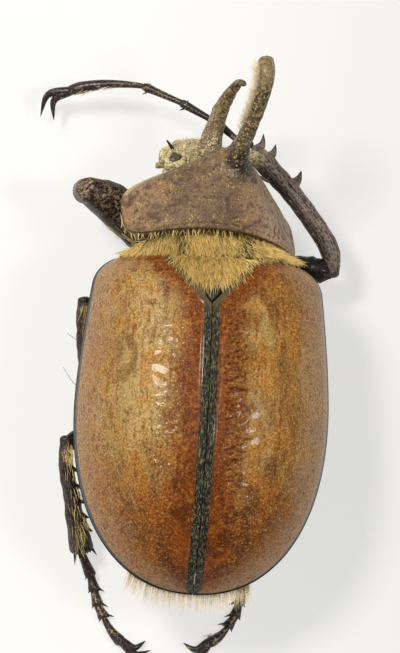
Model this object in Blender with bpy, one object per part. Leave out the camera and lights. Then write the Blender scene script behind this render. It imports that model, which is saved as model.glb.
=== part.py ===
"""Golofa beetle: a still model of a dried male at life size, in pieces named for its body parts.

Lengths are millimetres until a mesh is made, and metres in the scene. +Y runs to the head,
+X to the beetle's right and +Z up. The feet rest on the plane z = 0. The prothorax and the
head hang turned on the neck, so their pieces are written in axes of their own: x to the right,
f forward and u up, from the middle of the neck.
"""

import math

import bmesh
import bpy
import numpy as np
from mathutils import Euler, Matrix, Vector

MM = 0.001
GAP = 0.3  # between pieces that touch
SLACK = 0.06  # extra room under a curved piece, because flat faces cut its corners

# Elytra, the two wing cases
ELYTRA_HALF_WIDTH = 11.45
ELYTRA_WIDEST_Y = -1.0
ELYTRA_APEX_Y = -17.4
ELYTRA_BASE_Y = 12.6
ELYTRA_BASE_HALF_WIDTH = 10.0
ELYTRA_MARGIN_Z = 9.2
ELYTRA_HEIGHT = 8.3
ELYTRA_BASE_DROP = 0.30
ELYTRA_REAR_ROUND = 2.25
SHOULDER_RADIUS = 2.4
SHOULDER_DROP = 1.1
CASE_THICKNESS = 0.7
SUTURE_RIDGE = 0.14
SUTURE_RIDGE_HALF_WIDTH = 0.42
SHOULDER_KNOB = (7.4, 10.0, 1.4, 0.35)  # x, y, radius and height
REAR_KNOB = (6.2, -11.3, 2.0, 0.25)

# Scutellum, the small shield between the wing cases
SCUTELLUM_TIP_Y = 8.0
SCUTELLUM_HALF_WIDTH = 3.9
SCUTELLUM_THICKNESS = 0.6

# Trunk under the wing cases
BELLY_Z = 4.0
WAIST_Y = -1.9
ABDOMEN_END_Y = -15.3
TRUNK_SETBACK = 0.35
FRONT_SLOPE = 2.4  # how far the underside stays back from the front of the trunk
STERNITES = 6
STERNITE_STEP = 0.18
TAIL_RINGS = ((0.0, 1.0), (0.16, 0.96), (0.5, 0.8), (0.75, 0.5), (0.85, 0.2))  # reach and share

# Prothorax: its neck, how it hangs and its own sizes
NECK = (0.4, 14.62, 10.25)
NECK_TURN_DEG = (-29.8, 21.6, -2.1)
SHIELD_HALF_WIDTH = 8.6
SHIELD_CENTRE_F = 2.6
SHIELD_HALF_LENGTH = 3.7
SHIELD_REAR_POWER = 5.0
SHIELD_FRONT_POWER = 2.5
SHIELD_SIDE_U = -0.9
SHIELD_RISE = 3.9
SHIELD_LIP = 0.6
SHIELD_OVERHANG = 1.15
HORN_ROOT = (4.95, 6.0)  # f and u
HORN_ROOT_RADIUS = 1.15
STERNUM_U = -5.5

# Mesothorax, the collar that the prothorax turns on
COLLAR_HALF_WIDTH = 6.0
COLLAR_TOP_U = 1.85
COLLAR_BOTTOM_U = -4.3
COLLAR_F = -0.28
COLLAR_REAR_SHARE = 0.97  # of the trunk's own ring, where the collar meets the wing cases
COLLAR_PLUG_SHARE = 0.86  # and where it runs on inside them to the trunk

# The two horns: f and u along their middle, and a half width there
PRONOTAL_HORN = (
    (5.0, 6.33, 1.05),
    (5.4, 7.9, 0.8),
    (5.95, 9.8, 0.68),
    (6.7, 11.66, 0.66),
    (7.55, 13.0, 0.7),
    (8.76, 13.95, 0.78),
    (9.85, 14.2, 0.72),
)
HEAD_HORN = (
    (9.15, 2.15, 1.05),
    (10.0, 3.15, 0.88),
    (10.75, 4.5, 0.76),
    (11.25, 6.3, 0.64),
    (11.32, 7.9, 0.52),
    (11.1, 9.1, 0.42),
    (10.5, 9.75, 0.34),
)

# Head stations: f, half width, top u and bottom u
HEAD_STATIONS = (
    (5.5, 2.7, 0.9, -2.75),
    (6.75, 3.1, 1.5, -3.0),
    (7.6, 3.55, 1.8, -3.3),
    (8.5, 3.45, 1.9, -3.35),
    (9.4, 2.95, 1.75, -3.1),
    (10.3, 2.45, 0.95, -2.6),
    (11.0, 2.05, -0.15, -2.1),
    (11.45, 1.75, -0.95, -1.75),
)
# Feelers and jaws of the right side: x, f, u and half width
FEELERS = {
    "antenna": (
        (1.8, 9.2, -3.5, 0.3),
        (2.6, 9.0, -3.65, 0.28),
        (3.1, 8.3, -3.8, 0.26),
        (3.2, 7.4, -3.85, 0.42),
        (3.0, 6.7, -3.85, 0.4),
    ),
    "palp": (
        (0.9, 9.9, -3.45, 0.28),
        (1.3, 10.6, -3.75, 0.27),
        (1.7, 11.1, -4.1, 0.3),
        (1.9, 11.2, -4.5, 0.26),
    ),
    "mandible": (
        (2.2, 10.5, -2.85, 0.42),
        (2.15, 11.2, -2.65, 0.42),
        (1.7, 11.6, -2.4, 0.34),
        (1.15, 11.75, -2.15, 0.26),
    ),
}
EYE_CENTRE = (3.2, 7.7, 0.75)
EYE_RADIUS = 0.9

SIDES = {"left": -1, "right": 1}
END_ROUND = ((0.32, 0.8), (0.55, 0.4))  # a tube's round end: reach and width of its two rings

# Looks: colour, roughness and metallic value
FINISHES = {
    "wing_case": ((0.31, 0.155, 0.048), 0.32, 0.0),
    "shield": ((0.13, 0.078, 0.05), 0.42, 0.0),
    "horn": ((0.17, 0.105, 0.045), 0.4, 0.0),
    "head": ((0.16, 0.125, 0.075), 0.6, 0.0),
    "dark": ((0.035, 0.026, 0.02), 0.35, 0.0),
    "eye": ((0.02, 0.014, 0.01), 0.2, 0.0),
    "hair_pad": ((0.45, 0.3, 0.1), 0.8, 0.0),
}


def blend(a, b, t):
    return a + (b - a) * t


def unit(vector):
    vector = np.asarray(vector, float)
    return vector / np.linalg.norm(vector)


def clear_scene():
    for existing in list(bpy.data.objects):
        bpy.data.objects.remove(existing, do_unlink=True)


def finish_material(name, finish):
    colour, roughness, metallic = FINISHES[finish]
    material = bpy.data.materials.new(name)
    material.use_nodes = True
    shader = material.node_tree.nodes["Principled BSDF"]
    shader.inputs["Base Color"].default_value = (*colour, 1.0)
    shader.inputs["Roughness"].default_value = roughness
    shader.inputs["Metallic"].default_value = metallic
    return material


def solid(name, points, faces, finish):
    """One closed body from points in millimetres, its faces turned outwards."""
    mesh = bpy.data.meshes.new(name)
    mesh.from_pydata([Vector(point) * MM for point in points], [], faces)
    shape = bmesh.new()
    shape.from_mesh(mesh)
    bmesh.ops.recalc_face_normals(shape, faces=shape.faces)
    bmesh.ops.triangulate(shape, faces=shape.faces)
    shape.to_mesh(mesh)
    shape.free()
    mesh.shade_smooth()
    mesh.materials.append(finish_material(name + "_" + finish, finish))
    piece = bpy.data.objects.new(name, mesh)
    bpy.context.scene.collection.objects.link(piece)
    return piece


def ring_faces(rings, ends=True):
    """Points and faces of a body skinned over equal rings, with a point in the middle of each end."""
    count = len(rings[0])
    points = [point for ring in rings for point in ring]
    faces = []
    for row in range(len(rings) - 1):
        for i in range(count):
            j = (i + 1) % count
            low, high = row * count, (row + 1) * count
            faces.append((low + i, low + j, high + j, high + i))
    if ends:
        last = (len(rings) - 1) * count
        points.append(np.mean(rings[0], axis=0))
        points.append(np.mean(rings[-1], axis=0))
        first_pole, last_pole = len(points) - 2, len(points) - 1
        for i in range(count):
            j = (i + 1) % count
            faces.append((first_pole, j, i))
            faces.append((last_pole, last + i, last + j))
    return points, faces


def keep_largest(piece):
    """Leaves only the largest connected surface of a fused piece."""
    shape = bmesh.new()
    shape.from_mesh(piece.data)
    bmesh.ops.remove_doubles(shape, verts=shape.verts, dist=0.002 * MM)
    waiting = set(shape.verts)
    islands = []
    while waiting:
        reached = {waiting.pop()}
        border = list(reached)
        while border:
            vertex = border.pop()
            for edge in vertex.link_edges:
                other = edge.other_vert(vertex)
                if other in waiting:
                    waiting.remove(other)
                    reached.add(other)
                    border.append(other)
        islands.append(reached)
    largest = max(islands, key=len)
    dropped = [vertex for vertex in shape.verts if vertex not in largest]
    bmesh.ops.delete(shape, geom=dropped, context="VERTS")
    bmesh.ops.triangulate(shape, faces=shape.faces)
    shape.to_mesh(piece.data)
    shape.free()


def combine(piece, additions, operation):
    """Applies one Boolean of a piece with a group of closed shapes, which it then removes."""
    joined = bpy.data.collections.new(piece.name + "_joined")
    for addition in additions:
        bpy.context.scene.collection.objects.unlink(addition)
        joined.objects.link(addition)
    modifier = piece.modifiers.new("Join", "BOOLEAN")
    modifier.operation = operation
    modifier.operand_type = "COLLECTION"
    modifier.collection = joined
    modifier.solver = "EXACT"
    bpy.context.view_layer.update()
    evaluated = piece.evaluated_get(bpy.context.evaluated_depsgraph_get())
    fused = bpy.data.meshes.new_from_object(evaluated)
    piece.modifiers.clear()
    piece.data = fused
    for addition in additions:
        bpy.data.objects.remove(addition, do_unlink=True)
    bpy.data.collections.remove(joined)
    keep_largest(piece)
    return piece


def fuse(piece, additions):
    """Joins shapes whose roots are sunk in the piece into its one body."""
    return combine(piece, additions, "UNION")


def curve_through(points, steps):
    """Places and their parameter along a smooth curve through the points."""
    points = [np.asarray(point, float) for point in points]
    padded = [2 * points[0] - points[1]] + points + [2 * points[-1] - points[-2]]
    places = []
    for span in range(len(points) - 1):
        a, b, c, d = padded[span : span + 4]
        for step in range(steps):
            t = step / steps
            place = 0.5 * (
                2 * b + (c - a) * t + (2 * a - 5 * b + 4 * c - d) * t**2 + (3 * b - a - 3 * c + d) * t**3
            )
            places.append((place, span + t))
    places.append((points[-1], len(points) - 1.0))
    return places


def tube_rings(places, radii, sides, lean=(0, 0, 1), high=1.0, rounded=(True, True), root=None):
    """Rings round a path, high times as tall as wide; root is the way that the first one faces."""
    places = [np.asarray(place, float) for place in places]
    tangents = []
    for i in range(len(places)):
        tangents.append(unit(places[min(i + 1, len(places) - 1)] - places[max(i - 1, 0)]))
    if root is not None:
        tangents[0] = unit(root)
    radii = list(radii)
    for end, at in ((0, 0), (1, -1)):
        if not rounded[end]:
            continue
        place, tangent, radius = places[at], tangents[at], radii[at]
        outward = tangent if end else -tangent
        for reach, share in END_ROUND:
            where = len(places) if end else 0
            places.insert(where, place + outward * radius * reach)
            tangents.insert(where, tangent)
            radii.insert(where, radius * share)
    rings = []
    for place, tangent, radius in zip(places, tangents, radii):
        across = unit(np.cross(tangent, lean))
        upward = np.cross(across, tangent)
        ring = []
        for i in range(sides):
            angle = 2 * math.pi * i / sides
            ring.append(place + (across * math.cos(angle) + upward * math.sin(angle) * high) * radius)
        rings.append(ring)
    return rings


def above_floor(points):
    """Presses what would reach below the floor into a small flat on it."""
    return [np.array((point[0], point[1], max(point[2], 0.0))) for point in points]


def limb(name, points, radii, finish, sides=10, steps=3, **shape):
    """A bent, tapering length of a leg, horn or feeler."""
    path = curve_through(points, steps)
    spans = np.arange(len(radii))
    widths = [float(np.interp(along, spans, radii)) for _, along in path]
    rings = tube_rings([place for place, _ in path], widths, sides, **shape)
    skin, faces = ring_faces(rings)
    return solid(name, above_floor(skin), faces, finish)


def spike(root, tip, radius, finish, bend=(0, 0, 0), sides=4, steps=1):
    """A pointed tooth, spur or claw whose middle is pushed aside by bend."""
    root, tip, bend = (np.asarray(value, float) for value in (root, tip, bend))
    middle = (root + tip) / 2 + bend
    path = [place for place, _ in curve_through((root, middle, tip), steps)]
    last = len(path) - 1
    radii = [radius * (1 - 0.86 * (i / last) ** 1.2) for i in range(last + 1)]
    along = unit(tip - root)
    lean = (0, 0, 1) if abs(along[2]) < 0.8 else (1, 0, 0)
    rings = tube_rings(path, radii, sides, lean=lean, rounded=(False, False))
    skin, faces = ring_faces(rings)
    skin[-1] = path[-1] + along * radii[-1]
    return solid("spike", above_floor(skin), faces, finish)


# Elytra and trunk


def superellipse(t, power, root=None):
    """1 in the middle and 0 where t is 1 or -1, fuller as the powers grow."""
    return max(0.0, 1.0 - min(1.0, abs(t)) ** power) ** (1.0 / (root or power))


def rear_share(y):
    return (ELYTRA_WIDEST_Y - y) / (ELYTRA_WIDEST_Y - ELYTRA_APEX_Y)


def front_share(y):
    return (y - ELYTRA_WIDEST_Y) / (ELYTRA_BASE_Y - ELYTRA_WIDEST_Y)


def shoulder_round(y):
    """How far the corner has turned at this station, from 0 behind the shoulder to 1 at the base."""
    share = max(0.0, (y - (ELYTRA_BASE_Y - SHOULDER_RADIUS)) / SHOULDER_RADIUS)
    return 1.0 - math.sqrt(max(0.0, 1.0 - min(1.0, share) ** 2))


def elytra_half_width(y):
    if y < ELYTRA_WIDEST_Y:
        return ELYTRA_HALF_WIDTH * superellipse(rear_share(y), ELYTRA_REAR_ROUND)
    narrowing = (ELYTRA_HALF_WIDTH - ELYTRA_BASE_HALF_WIDTH) * front_share(y) ** 1.5
    return ELYTRA_HALF_WIDTH - narrowing - SHOULDER_RADIUS * shoulder_round(y)


def elytra_height(y):
    if y < ELYTRA_WIDEST_Y:
        return ELYTRA_HEIGHT * superellipse(rear_share(y), 2.2, 1.35)
    level = ELYTRA_HEIGHT * (1.0 - ELYTRA_BASE_DROP * front_share(y) ** 2)
    return level - SHOULDER_DROP * shoulder_round(y)


def knob(x, y, place):
    at_x, at_y, radius, height = place
    return height * math.exp(-((abs(x) - at_x) ** 2 + (y - at_y) ** 2) / radius**2)


def elytra_point(q, y):
    """The outer surface, q running from -1 at the left margin over the suture to 1."""
    width = elytra_half_width(y)
    x = width * q
    z = ELYTRA_MARGIN_Z + elytra_height(y) * superellipse(q, 2.4, 1.7)
    fade = superellipse(q, 2.0)
    z += (knob(x, y, SHOULDER_KNOB) + knob(x, y, REAR_KNOB)) * fade
    return np.array((x, y, z))


def elytra_normal(q, y):
    q = max(-0.998, min(0.998, q))
    step = 0.001
    across = elytra_point(q + step, y) - elytra_point(q - step, y)
    along = elytra_point(q, y + step) - elytra_point(q, y - step)
    return unit(np.cross(across, along))


def under_elytra(q, y, depth):
    return elytra_point(q, y) - elytra_normal(q, y) * depth


def inner_edge(y):
    """Where a wing case starts: at the suture, and beside the scutellum in front of its tip."""
    share = max(0.0, (y - SCUTELLUM_TIP_Y) / (ELYTRA_BASE_Y - SCUTELLUM_TIP_Y))
    return GAP / 2 + SCUTELLUM_HALF_WIDTH * share


def trunk_stations(count, front, rear):
    """Stations from front to rear, closer together where the back curves down."""
    stations = []
    for i in range(count):
        share = i / (count - 1)
        stations.append(blend(front, rear, math.sin(share * math.pi / 2) ** 1.15))
    return stations


def elytron(side):
    sign = SIDES[side]
    rows = [ELYTRA_BASE_Y - drop for drop in (0.02, 0.35, 1.0, 2.0)]
    rows += trunk_stations(17, SCUTELLUM_TIP_Y, ELYTRA_APEX_Y + 0.05)
    offsets = (0.0, SUTURE_RIDGE_HALF_WIDTH, SUTURE_RIDGE_HALF_WIDTH + 0.3)
    spread = [math.sin(math.pi / 2 * share / 9) for share in range(1, 10)]
    outer, inner = [], []
    for y in rows:
        start, width = inner_edge(y), elytra_half_width(y)
        places = [start + offset * min(1.0, (width - start) / 3.0) for offset in offsets]
        room = width - places[-1]
        places += [places[-1] + room * share for share in spread]
        outer_row, inner_row = [], []
        for column, x in enumerate(places):
            q = min(1.0, x / width)
            top = elytra_point(q, y)
            low = under_elytra(q, y, CASE_THICKNESS)
            if column < 2:
                top[2] += SUTURE_RIDGE
                low[0] = max(low[0], top[0]) if column else top[0]
            outer_row.append((sign * top[0], top[1], top[2]))
            inner_row.append((sign * max(low[0], start), low[1], low[2]))
        outer.append(outer_row)
        inner.append(inner_row)
    rings = [outer_row + inner_row[::-1] for outer_row, inner_row in zip(outer, inner)]
    points, faces = ring_faces(rings, ends=False)
    faces += strip_cap(len(outer[0]), 0)
    faces += strip_cap(len(outer[0]), (len(rings) - 1) * len(rings[0]))
    return solid(side + "_elytron", points, faces, "wing_case")


def strip_cap(columns, start):
    """Quads that close the end of a shell, between its outer row and its inner one."""
    faces = []
    for i in range(columns - 1):
        outer_a, outer_b = start + i, start + i + 1
        inner_a, inner_b = start + 2 * columns - 1 - i, start + 2 * columns - 2 - i
        faces.append((outer_a, outer_b, inner_b, inner_a))
    return faces


def scutellum():
    rows = [SCUTELLUM_TIP_Y + step for step in (0.85, 1.6, 2.6, 3.6, 4.45)]
    rings = []
    for y in rows:
        half = inner_edge(y) - GAP / 2 - GAP * 1.3
        width = elytra_half_width(y)
        top = [elytra_point(x / width, y) for x in np.linspace(-half, half, 7)]
        low = [point - np.array((0, 0, SCUTELLUM_THICKNESS)) for point in top]
        rings.append(top + low[::-1])
    points, faces = ring_faces(rings, ends=False)
    faces += strip_cap(7, 0) + strip_cap(7, (len(rings) - 1) * len(rings[0]))
    return solid("scutellum", points, faces, "hair_pad")


def belly_z(y):
    """The lowest line of the trunk, rising to the front and to the tail."""
    front = max(0.0, (y - 8.0) / (ELYTRA_BASE_Y - 8.0))
    rear = max(0.0, (-4.0 - y) / (-4.0 - ELYTRA_APEX_Y))
    return BELLY_Z + 1.7 * front**2 + 4.6 * rear**2.2


def trunk_ring(y, step=0.0, upper=15, lower=13):
    """A ring of the trunk under the wing cases, from the right margin over the back."""
    depth = CASE_THICKNESS + GAP + SLACK + step
    ring = [under_elytra(math.cos(math.pi * i / (upper - 1)), y, depth) for i in range(upper)]
    margin_x = ring[0][0]
    margin_y = ring[0][1]
    slope = FRONT_SLOPE * max(0.0, (y - 7.0) / (ELYTRA_BASE_Y - 7.0))
    bottom = belly_z(y) + step
    for i in range(1, lower + 1):
        angle = math.pi + math.pi * i / (lower + 1)
        down = (-math.sin(angle)) ** 0.85
        z = blend(ELYTRA_MARGIN_Z, bottom, down)
        ring.append(np.array((margin_x * math.cos(angle), margin_y - slope * down, z)))
    return ring


def under_trunk(x, y):
    """The height of the trunk's underside."""
    half = elytra_half_width(y) - CASE_THICKNESS - GAP
    share = min(1.0, abs(x) / half)
    return blend(ELYTRA_MARGIN_Z, belly_z(y), math.sqrt(1 - share**2) ** 0.85)


def pterothorax():
    stations = np.linspace(ELYTRA_BASE_Y - TRUNK_SETBACK, WAIST_Y, 8)
    points, faces = ring_faces([trunk_ring(y) for y in stations])
    return solid("pterothorax", points, faces, "dark")


def abdomen():
    """The belly, its plates each a step under the one before."""
    front = WAIST_Y - GAP
    rings = []
    for plate in range(STERNITES):
        start = blend(front, ABDOMEN_END_Y, (plate / STERNITES) ** 0.9)
        end = blend(front, ABDOMEN_END_Y, ((plate + 1) / STERNITES) ** 0.9)
        rings.append(trunk_ring(start - 0.02, STERNITE_STEP))
        rings.append(trunk_ring(blend(start, end, 0.8)))
    rings.append(trunk_ring(ABDOMEN_END_Y, STERNITE_STEP))
    points, faces = ring_faces(rings)
    return solid("abdomen", points, faces, "dark")


def pygidium():
    """The tail plate, a low dome that closes the end of the abdomen under the wing cases."""
    base = trunk_ring(ABDOMEN_END_Y - GAP, STERNITE_STEP)
    centre = np.mean(base, axis=0)
    rings = []
    for reach, share in TAIL_RINGS:
        rings.append([centre + (point - centre) * share + np.array((0, -reach, 0)) for point in base])
    points, faces = ring_faces(rings)
    return solid("pygidium", points, faces, "wing_case")


# Prothorax and head, in the axes of the neck


def neck_frame():
    turn = Euler([math.radians(angle) for angle in NECK_TURN_DEG], "XYZ").to_matrix()
    return np.array(turn), np.array(NECK)


def hung(point):
    """A place written in the neck's axes, in the beetle's."""
    turn, neck = neck_frame()
    return turn @ np.asarray(point, float) + neck


def shield_outline(angle):
    """The margin of the prothorax, from the right side over the front."""
    c, s = math.cos(angle), math.sin(angle)
    power = SHIELD_FRONT_POWER if s > 0 else SHIELD_REAR_POWER
    reach = 1.0 / (abs(c) ** power + abs(s) ** power) ** (1.0 / power)
    x = SHIELD_HALF_WIDTH * c * reach
    f = SHIELD_CENTRE_F + SHIELD_HALF_LENGTH * s * reach
    arch = blend(0.6, 2.5, (1 + s) / 2)
    u = SHIELD_SIDE_U + (SHIELD_RISE + 0.3 * max(0.0, s)) * superellipse(c * reach, 2.0, 1.0) ** arch
    return np.array((x, f, u))


def shield_point(angle, t):
    """The upper surface of the prothorax, t running from the horn's root to the margin."""
    margin = shield_outline(angle)
    root_f, root_u = HORN_ROOT
    c, s = math.cos(angle), math.sin(angle)
    top = np.array((HORN_ROOT_RADIUS * c, root_f + HORN_ROOT_RADIUS * s, root_u))
    away = margin - top
    side = abs(c) ** 1.5
    rear = max(0.0, -s)
    shoulder = top + np.array((away[0] * 0.24, away[1] * 0.16, -0.7 - 0.9 * side))
    rise = 0.5 + 1.1 * side + 0.8 * rear
    edge = margin + np.array((-away[0] * 0.16, -away[1] * 0.16, rise))
    k = 1 - t
    return k**3 * top + 3 * k * k * t * shoulder + 3 * k * t * t * edge + t**3 * margin


def prothorax():
    sides = 32
    rings = []
    angles = [2 * math.pi * i / sides for i in range(sides)]
    for t in (0.0, 0.12, 0.26, 0.42, 0.58, 0.74, 0.88, 1.0):
        rings.append([shield_point(angle, t) for angle in angles])
    centre = np.array((0.0, SHIELD_CENTRE_F, 0.0))
    lip, wall, low, floor_ring = [], [], [], []
    for angle in angles:
        margin = shield_outline(angle)
        c, s = math.cos(angle), math.sin(angle)
        inward = centre - margin
        inward[2] = 0.0
        inward = unit(inward)
        lip.append(margin + inward * 0.12 + np.array((0, 0, -0.3)))
        wall_x = margin[0] * 0.86
        wall_f = blend(margin[1], SHIELD_CENTRE_F, SHIELD_OVERHANG / SHIELD_HALF_LENGTH)
        wall.append(np.array((wall_x, wall_f, margin[2] - SHIELD_LIP)))
        low.append(np.array((margin[0] * 0.74, blend(SHIELD_CENTRE_F, wall_f, 0.98), -3.0)))
        floor_ring.append(np.array((4.1 * c, SHIELD_CENTRE_F + 1.9 * s, STERNUM_U + 0.25)))
    rings += [lip, wall, low, floor_ring]
    rings = [[hung(point) for point in ring] for ring in rings]
    points, faces = ring_faces(rings)
    return solid("prothorax", points, faces, "shield")


def mesothorax():
    """The hairy collar between the trunk's front and the prothorax, fitted to both."""
    front_y = ELYTRA_BASE_Y - TRUNK_SETBACK
    meeting = trunk_ring(front_y)
    centre = np.mean(meeting, axis=0)
    ahead = np.array((0, GAP + SLACK, 0))
    plug = [centre + (point - centre) * COLLAR_PLUG_SHARE + ahead for point in meeting]
    trunk = []
    for point in trunk_ring(front_y, STERNITE_STEP):
        back = max(0.0, (ELYTRA_MARGIN_Z - point[2]) / (ELYTRA_MARGIN_Z - belly_z(front_y)))
        y = ELYTRA_BASE_Y + GAP - FRONT_SLOPE * back
        trunk.append(np.array((point[0] * COLLAR_REAR_SHARE, y, point[2])))
    upper = 15
    middle_u = (COLLAR_TOP_U + COLLAR_BOTTOM_U) / 2
    neck = []
    for i in range(len(trunk)):
        if i < upper:
            angle = math.pi * i / (upper - 1)
            u = blend(middle_u, COLLAR_TOP_U, math.sin(angle) ** 0.8)
        else:
            angle = math.pi + math.pi * (i - upper + 1) / (len(trunk) - upper + 1)
            u = blend(middle_u, COLLAR_BOTTOM_U, -math.sin(angle))
        neck.append(hung((COLLAR_HALF_WIDTH * math.cos(angle), COLLAR_F, u)))
    neckline = [np.array((a[0], b[1], a[2])) for a, b in zip(plug, trunk)]
    rings = [plug, neckline]
    rings += [[blend(a, b, share) for a, b in zip(trunk, neck)] for share in (0.0, 0.3, 0.65, 1.0)]
    points, faces = ring_faces(rings)
    return solid("mesothorax", points, faces, "hair_pad")


def head():
    sides = 20
    rings = []
    for f, half, top, bottom in HEAD_STATIONS:
        middle = blend(bottom, top, 0.52)
        ring = []
        for i in range(sides):
            angle = 2 * math.pi * i / sides
            c, s = math.cos(angle), math.sin(angle)
            x = half * math.copysign(abs(c) ** 0.8, c)
            reach = top - middle if s > 0 else middle - bottom
            ring.append(hung((x, f, middle + reach * math.copysign(abs(s) ** 0.85, s))))
        rings.append(ring)
    points, faces = ring_faces(rings)
    sockets = [eye("socket", sign, EYE_RADIUS + GAP) for sign in SIDES.values()]
    return combine(solid("head", points, faces, "head"), sockets, "DIFFERENCE")


def horn(name, stations, root):
    """A horn in the middle plane; root is the way, in f and u, that its base faces."""
    turn = neck_frame()[0]
    across = turn @ np.array((1.0, 0.0, 0.0))
    facing = turn @ np.array((0.0, *root))
    shape = {"lean": across, "rounded": (False, True), "root": facing}
    line = [hung((0.0, f, u)) for f, u, _ in stations]
    radii = [radius for _, _, radius in stations]
    return limb(name, line, radii, "horn", sides=12, steps=2, **shape)


def ellipsoid(name, centre, radii, finish, axes=None, rows=7, sides=12, cover=None):
    """A rounded knob; cover, if given, is the surface that it sits under."""
    axes = np.eye(3) if axes is None else axes
    centre = np.asarray(centre, float)
    rings = []
    for row in range(1, rows):
        tilt = math.pi * row / rows
        ring = []
        for i in range(sides):
            angle = 2 * math.pi * i / sides
            around = math.sin(tilt) * np.array((math.cos(angle), math.sin(angle), 0.0))
            local = around - np.array((0.0, 0.0, math.cos(tilt)))
            ring.append(centre + axes @ (local * radii))
        rings.append(ring)
    points, faces = ring_faces(rings)
    points[-2] = centre - axes @ np.array((0, 0, radii[2]))
    points[-1] = centre + axes @ np.array((0, 0, radii[2]))
    if cover:
        points = [np.array((p[0], p[1], min(p[2], cover(p[0], p[1]) - GAP))) for p in points]
    return solid(name, above_floor(points), faces, finish)


def eye(name, sign, radius):
    x, f, u = EYE_CENTRE
    return ellipsoid(name, hung((sign * x, f, u)), (radius, radius, radius), "eye", axes=neck_frame()[0])


def feelers():
    """Antennae with their closed clubs, palps and jaws, tucked under the head."""
    pieces = []
    for side, sign in SIDES.items():
        for feeler, stations in FEELERS.items():
            places = [hung((sign * x, f, u)) for x, f, u, _ in stations]
            radii = [radius for _, _, _, radius in stations]
            pieces.append(limb(side + "_" + feeler, places, radii, "dark", sides=8, steps=2))
    return pieces


# Legs

# Each leg's coxa and the middle lines of its femur and tibia, with a half width at each point
LEGS = {
    "left_fore": {
        "coxa": (-4.05, 14.55, 4.0),
        "coxa_radii": (1.2, 1.3, 0.95),
        "femur": ((-5.75, 15.0, 4.8), (-7.4, 16.45, 5.75), (-9.05, 17.75, 7.1), (-11.25, 18.8, 8.5)),
        "femur_radii": (0.88, 1.62, 1.72, 1.12),
        "tibia": ((-11.35, 18.85, 6.1), (-10.9, 18.5, 4.9), (-7.8, 16.2, 2.85), (-3.6, 13.3, 0.95)),
        "tibia_radii": (0.75, 0.75, 0.72, 0.9),
        "lean": (0.58, 0.81, 0.0),
    },
    "right_fore": {
        "coxa": (-0.2, 14.5, 2.3),
        "coxa_radii": (1.3, 1.3, 0.9),
        "femur": ((1.85, 14.2, 2.1), (4.6, 13.9, 2.2), (7.6, 13.7, 3.1), (9.7, 13.45, 4.15)),
        "femur_radii": (0.85, 1.05, 0.95, 1.12),
        "tibia": (
            (11.45, 13.1, 4.2),
            (11.35, 14.8, 4.5),
            (10.2, 16.75, 5.0),
            (7.25, 20.15, 6.0),
            (4.6, 22.55, 7.05),
            (3.85, 23.1, 7.4),
        ),
        "tibia_radii": (0.8, 0.88, 0.9, 0.9, 0.97, 0.88),
    },
    "left_middle": {
        "coxa": (-3.1, 4.6, 3.4),
        "coxa_radii": (1.4, 1.2, 1.1),
        "femur": ((-5.1, 5.2, 2.9), (-7.0, 6.1, 3.2), (-9.35, 7.75, 4.4)),
        "femur_radii": (0.85, 1.15, 0.85),
        "tibia": ((-10.75, 9.2, 5.2), (-10.8, 7.4, 4.8), (-10.3, 4.4, 3.1), (-9.5, 1.2, 1.1)),
        "tibia_radii": (0.62, 0.62, 0.75, 0.95),
    },
    "right_middle": {
        "coxa": (3.1, 4.6, 3.4),
        "coxa_radii": (1.4, 1.2, 1.1),
        "femur": ((5.1, 5.1, 2.9), (6.6, 5.6, 3.1), (8.3, 6.3, 3.9)),
        "femur_radii": (0.85, 1.15, 0.85),
        "tibia": ((9.65, 7.2, 4.3), (9.7, 5.4, 3.7), (9.1, 2.4, 2.3), (8.5, -0.4, 1.1)),
        "tibia_radii": (0.62, 0.62, 0.75, 0.95),
    },
    "left_hind": {
        "coxa": (-3.6, -0.4, 3.4),
        "coxa_radii": (2.3, 1.1, 1.0),
        "femur": ((-5.3, -2.2, 3.0), (-8.0, -3.0, 3.4), (-10.5, -3.6, 4.6)),
        "femur_radii": (0.95, 1.3, 0.85),
        "tibia": ((-11.75, -3.6, 5.2), (-11.75, -5.5, 4.9), (-10.8, -9.3, 3.5), (-9.75, -12.9, 1.95)),
        "tibia_radii": (0.6, 0.62, 0.78, 1.1),
    },
    "right_hind": {
        "coxa": (3.6, -0.4, 3.4),
        "coxa_radii": (2.3, 1.1, 1.0),
        "femur": ((4.9, -2.2, 3.0), (6.8, -3.8, 3.2), (8.6, -5.65, 3.95)),
        "femur_radii": (0.95, 1.3, 0.85),
        "tibia": ((9.7, -6.5, 4.1), (8.9, -8.3, 3.6), (7.0, -11.3, 2.8), (5.3, -13.8, 1.95)),
        "tibia_radii": (0.6, 0.62, 0.78, 1.05),
    },
}

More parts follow.
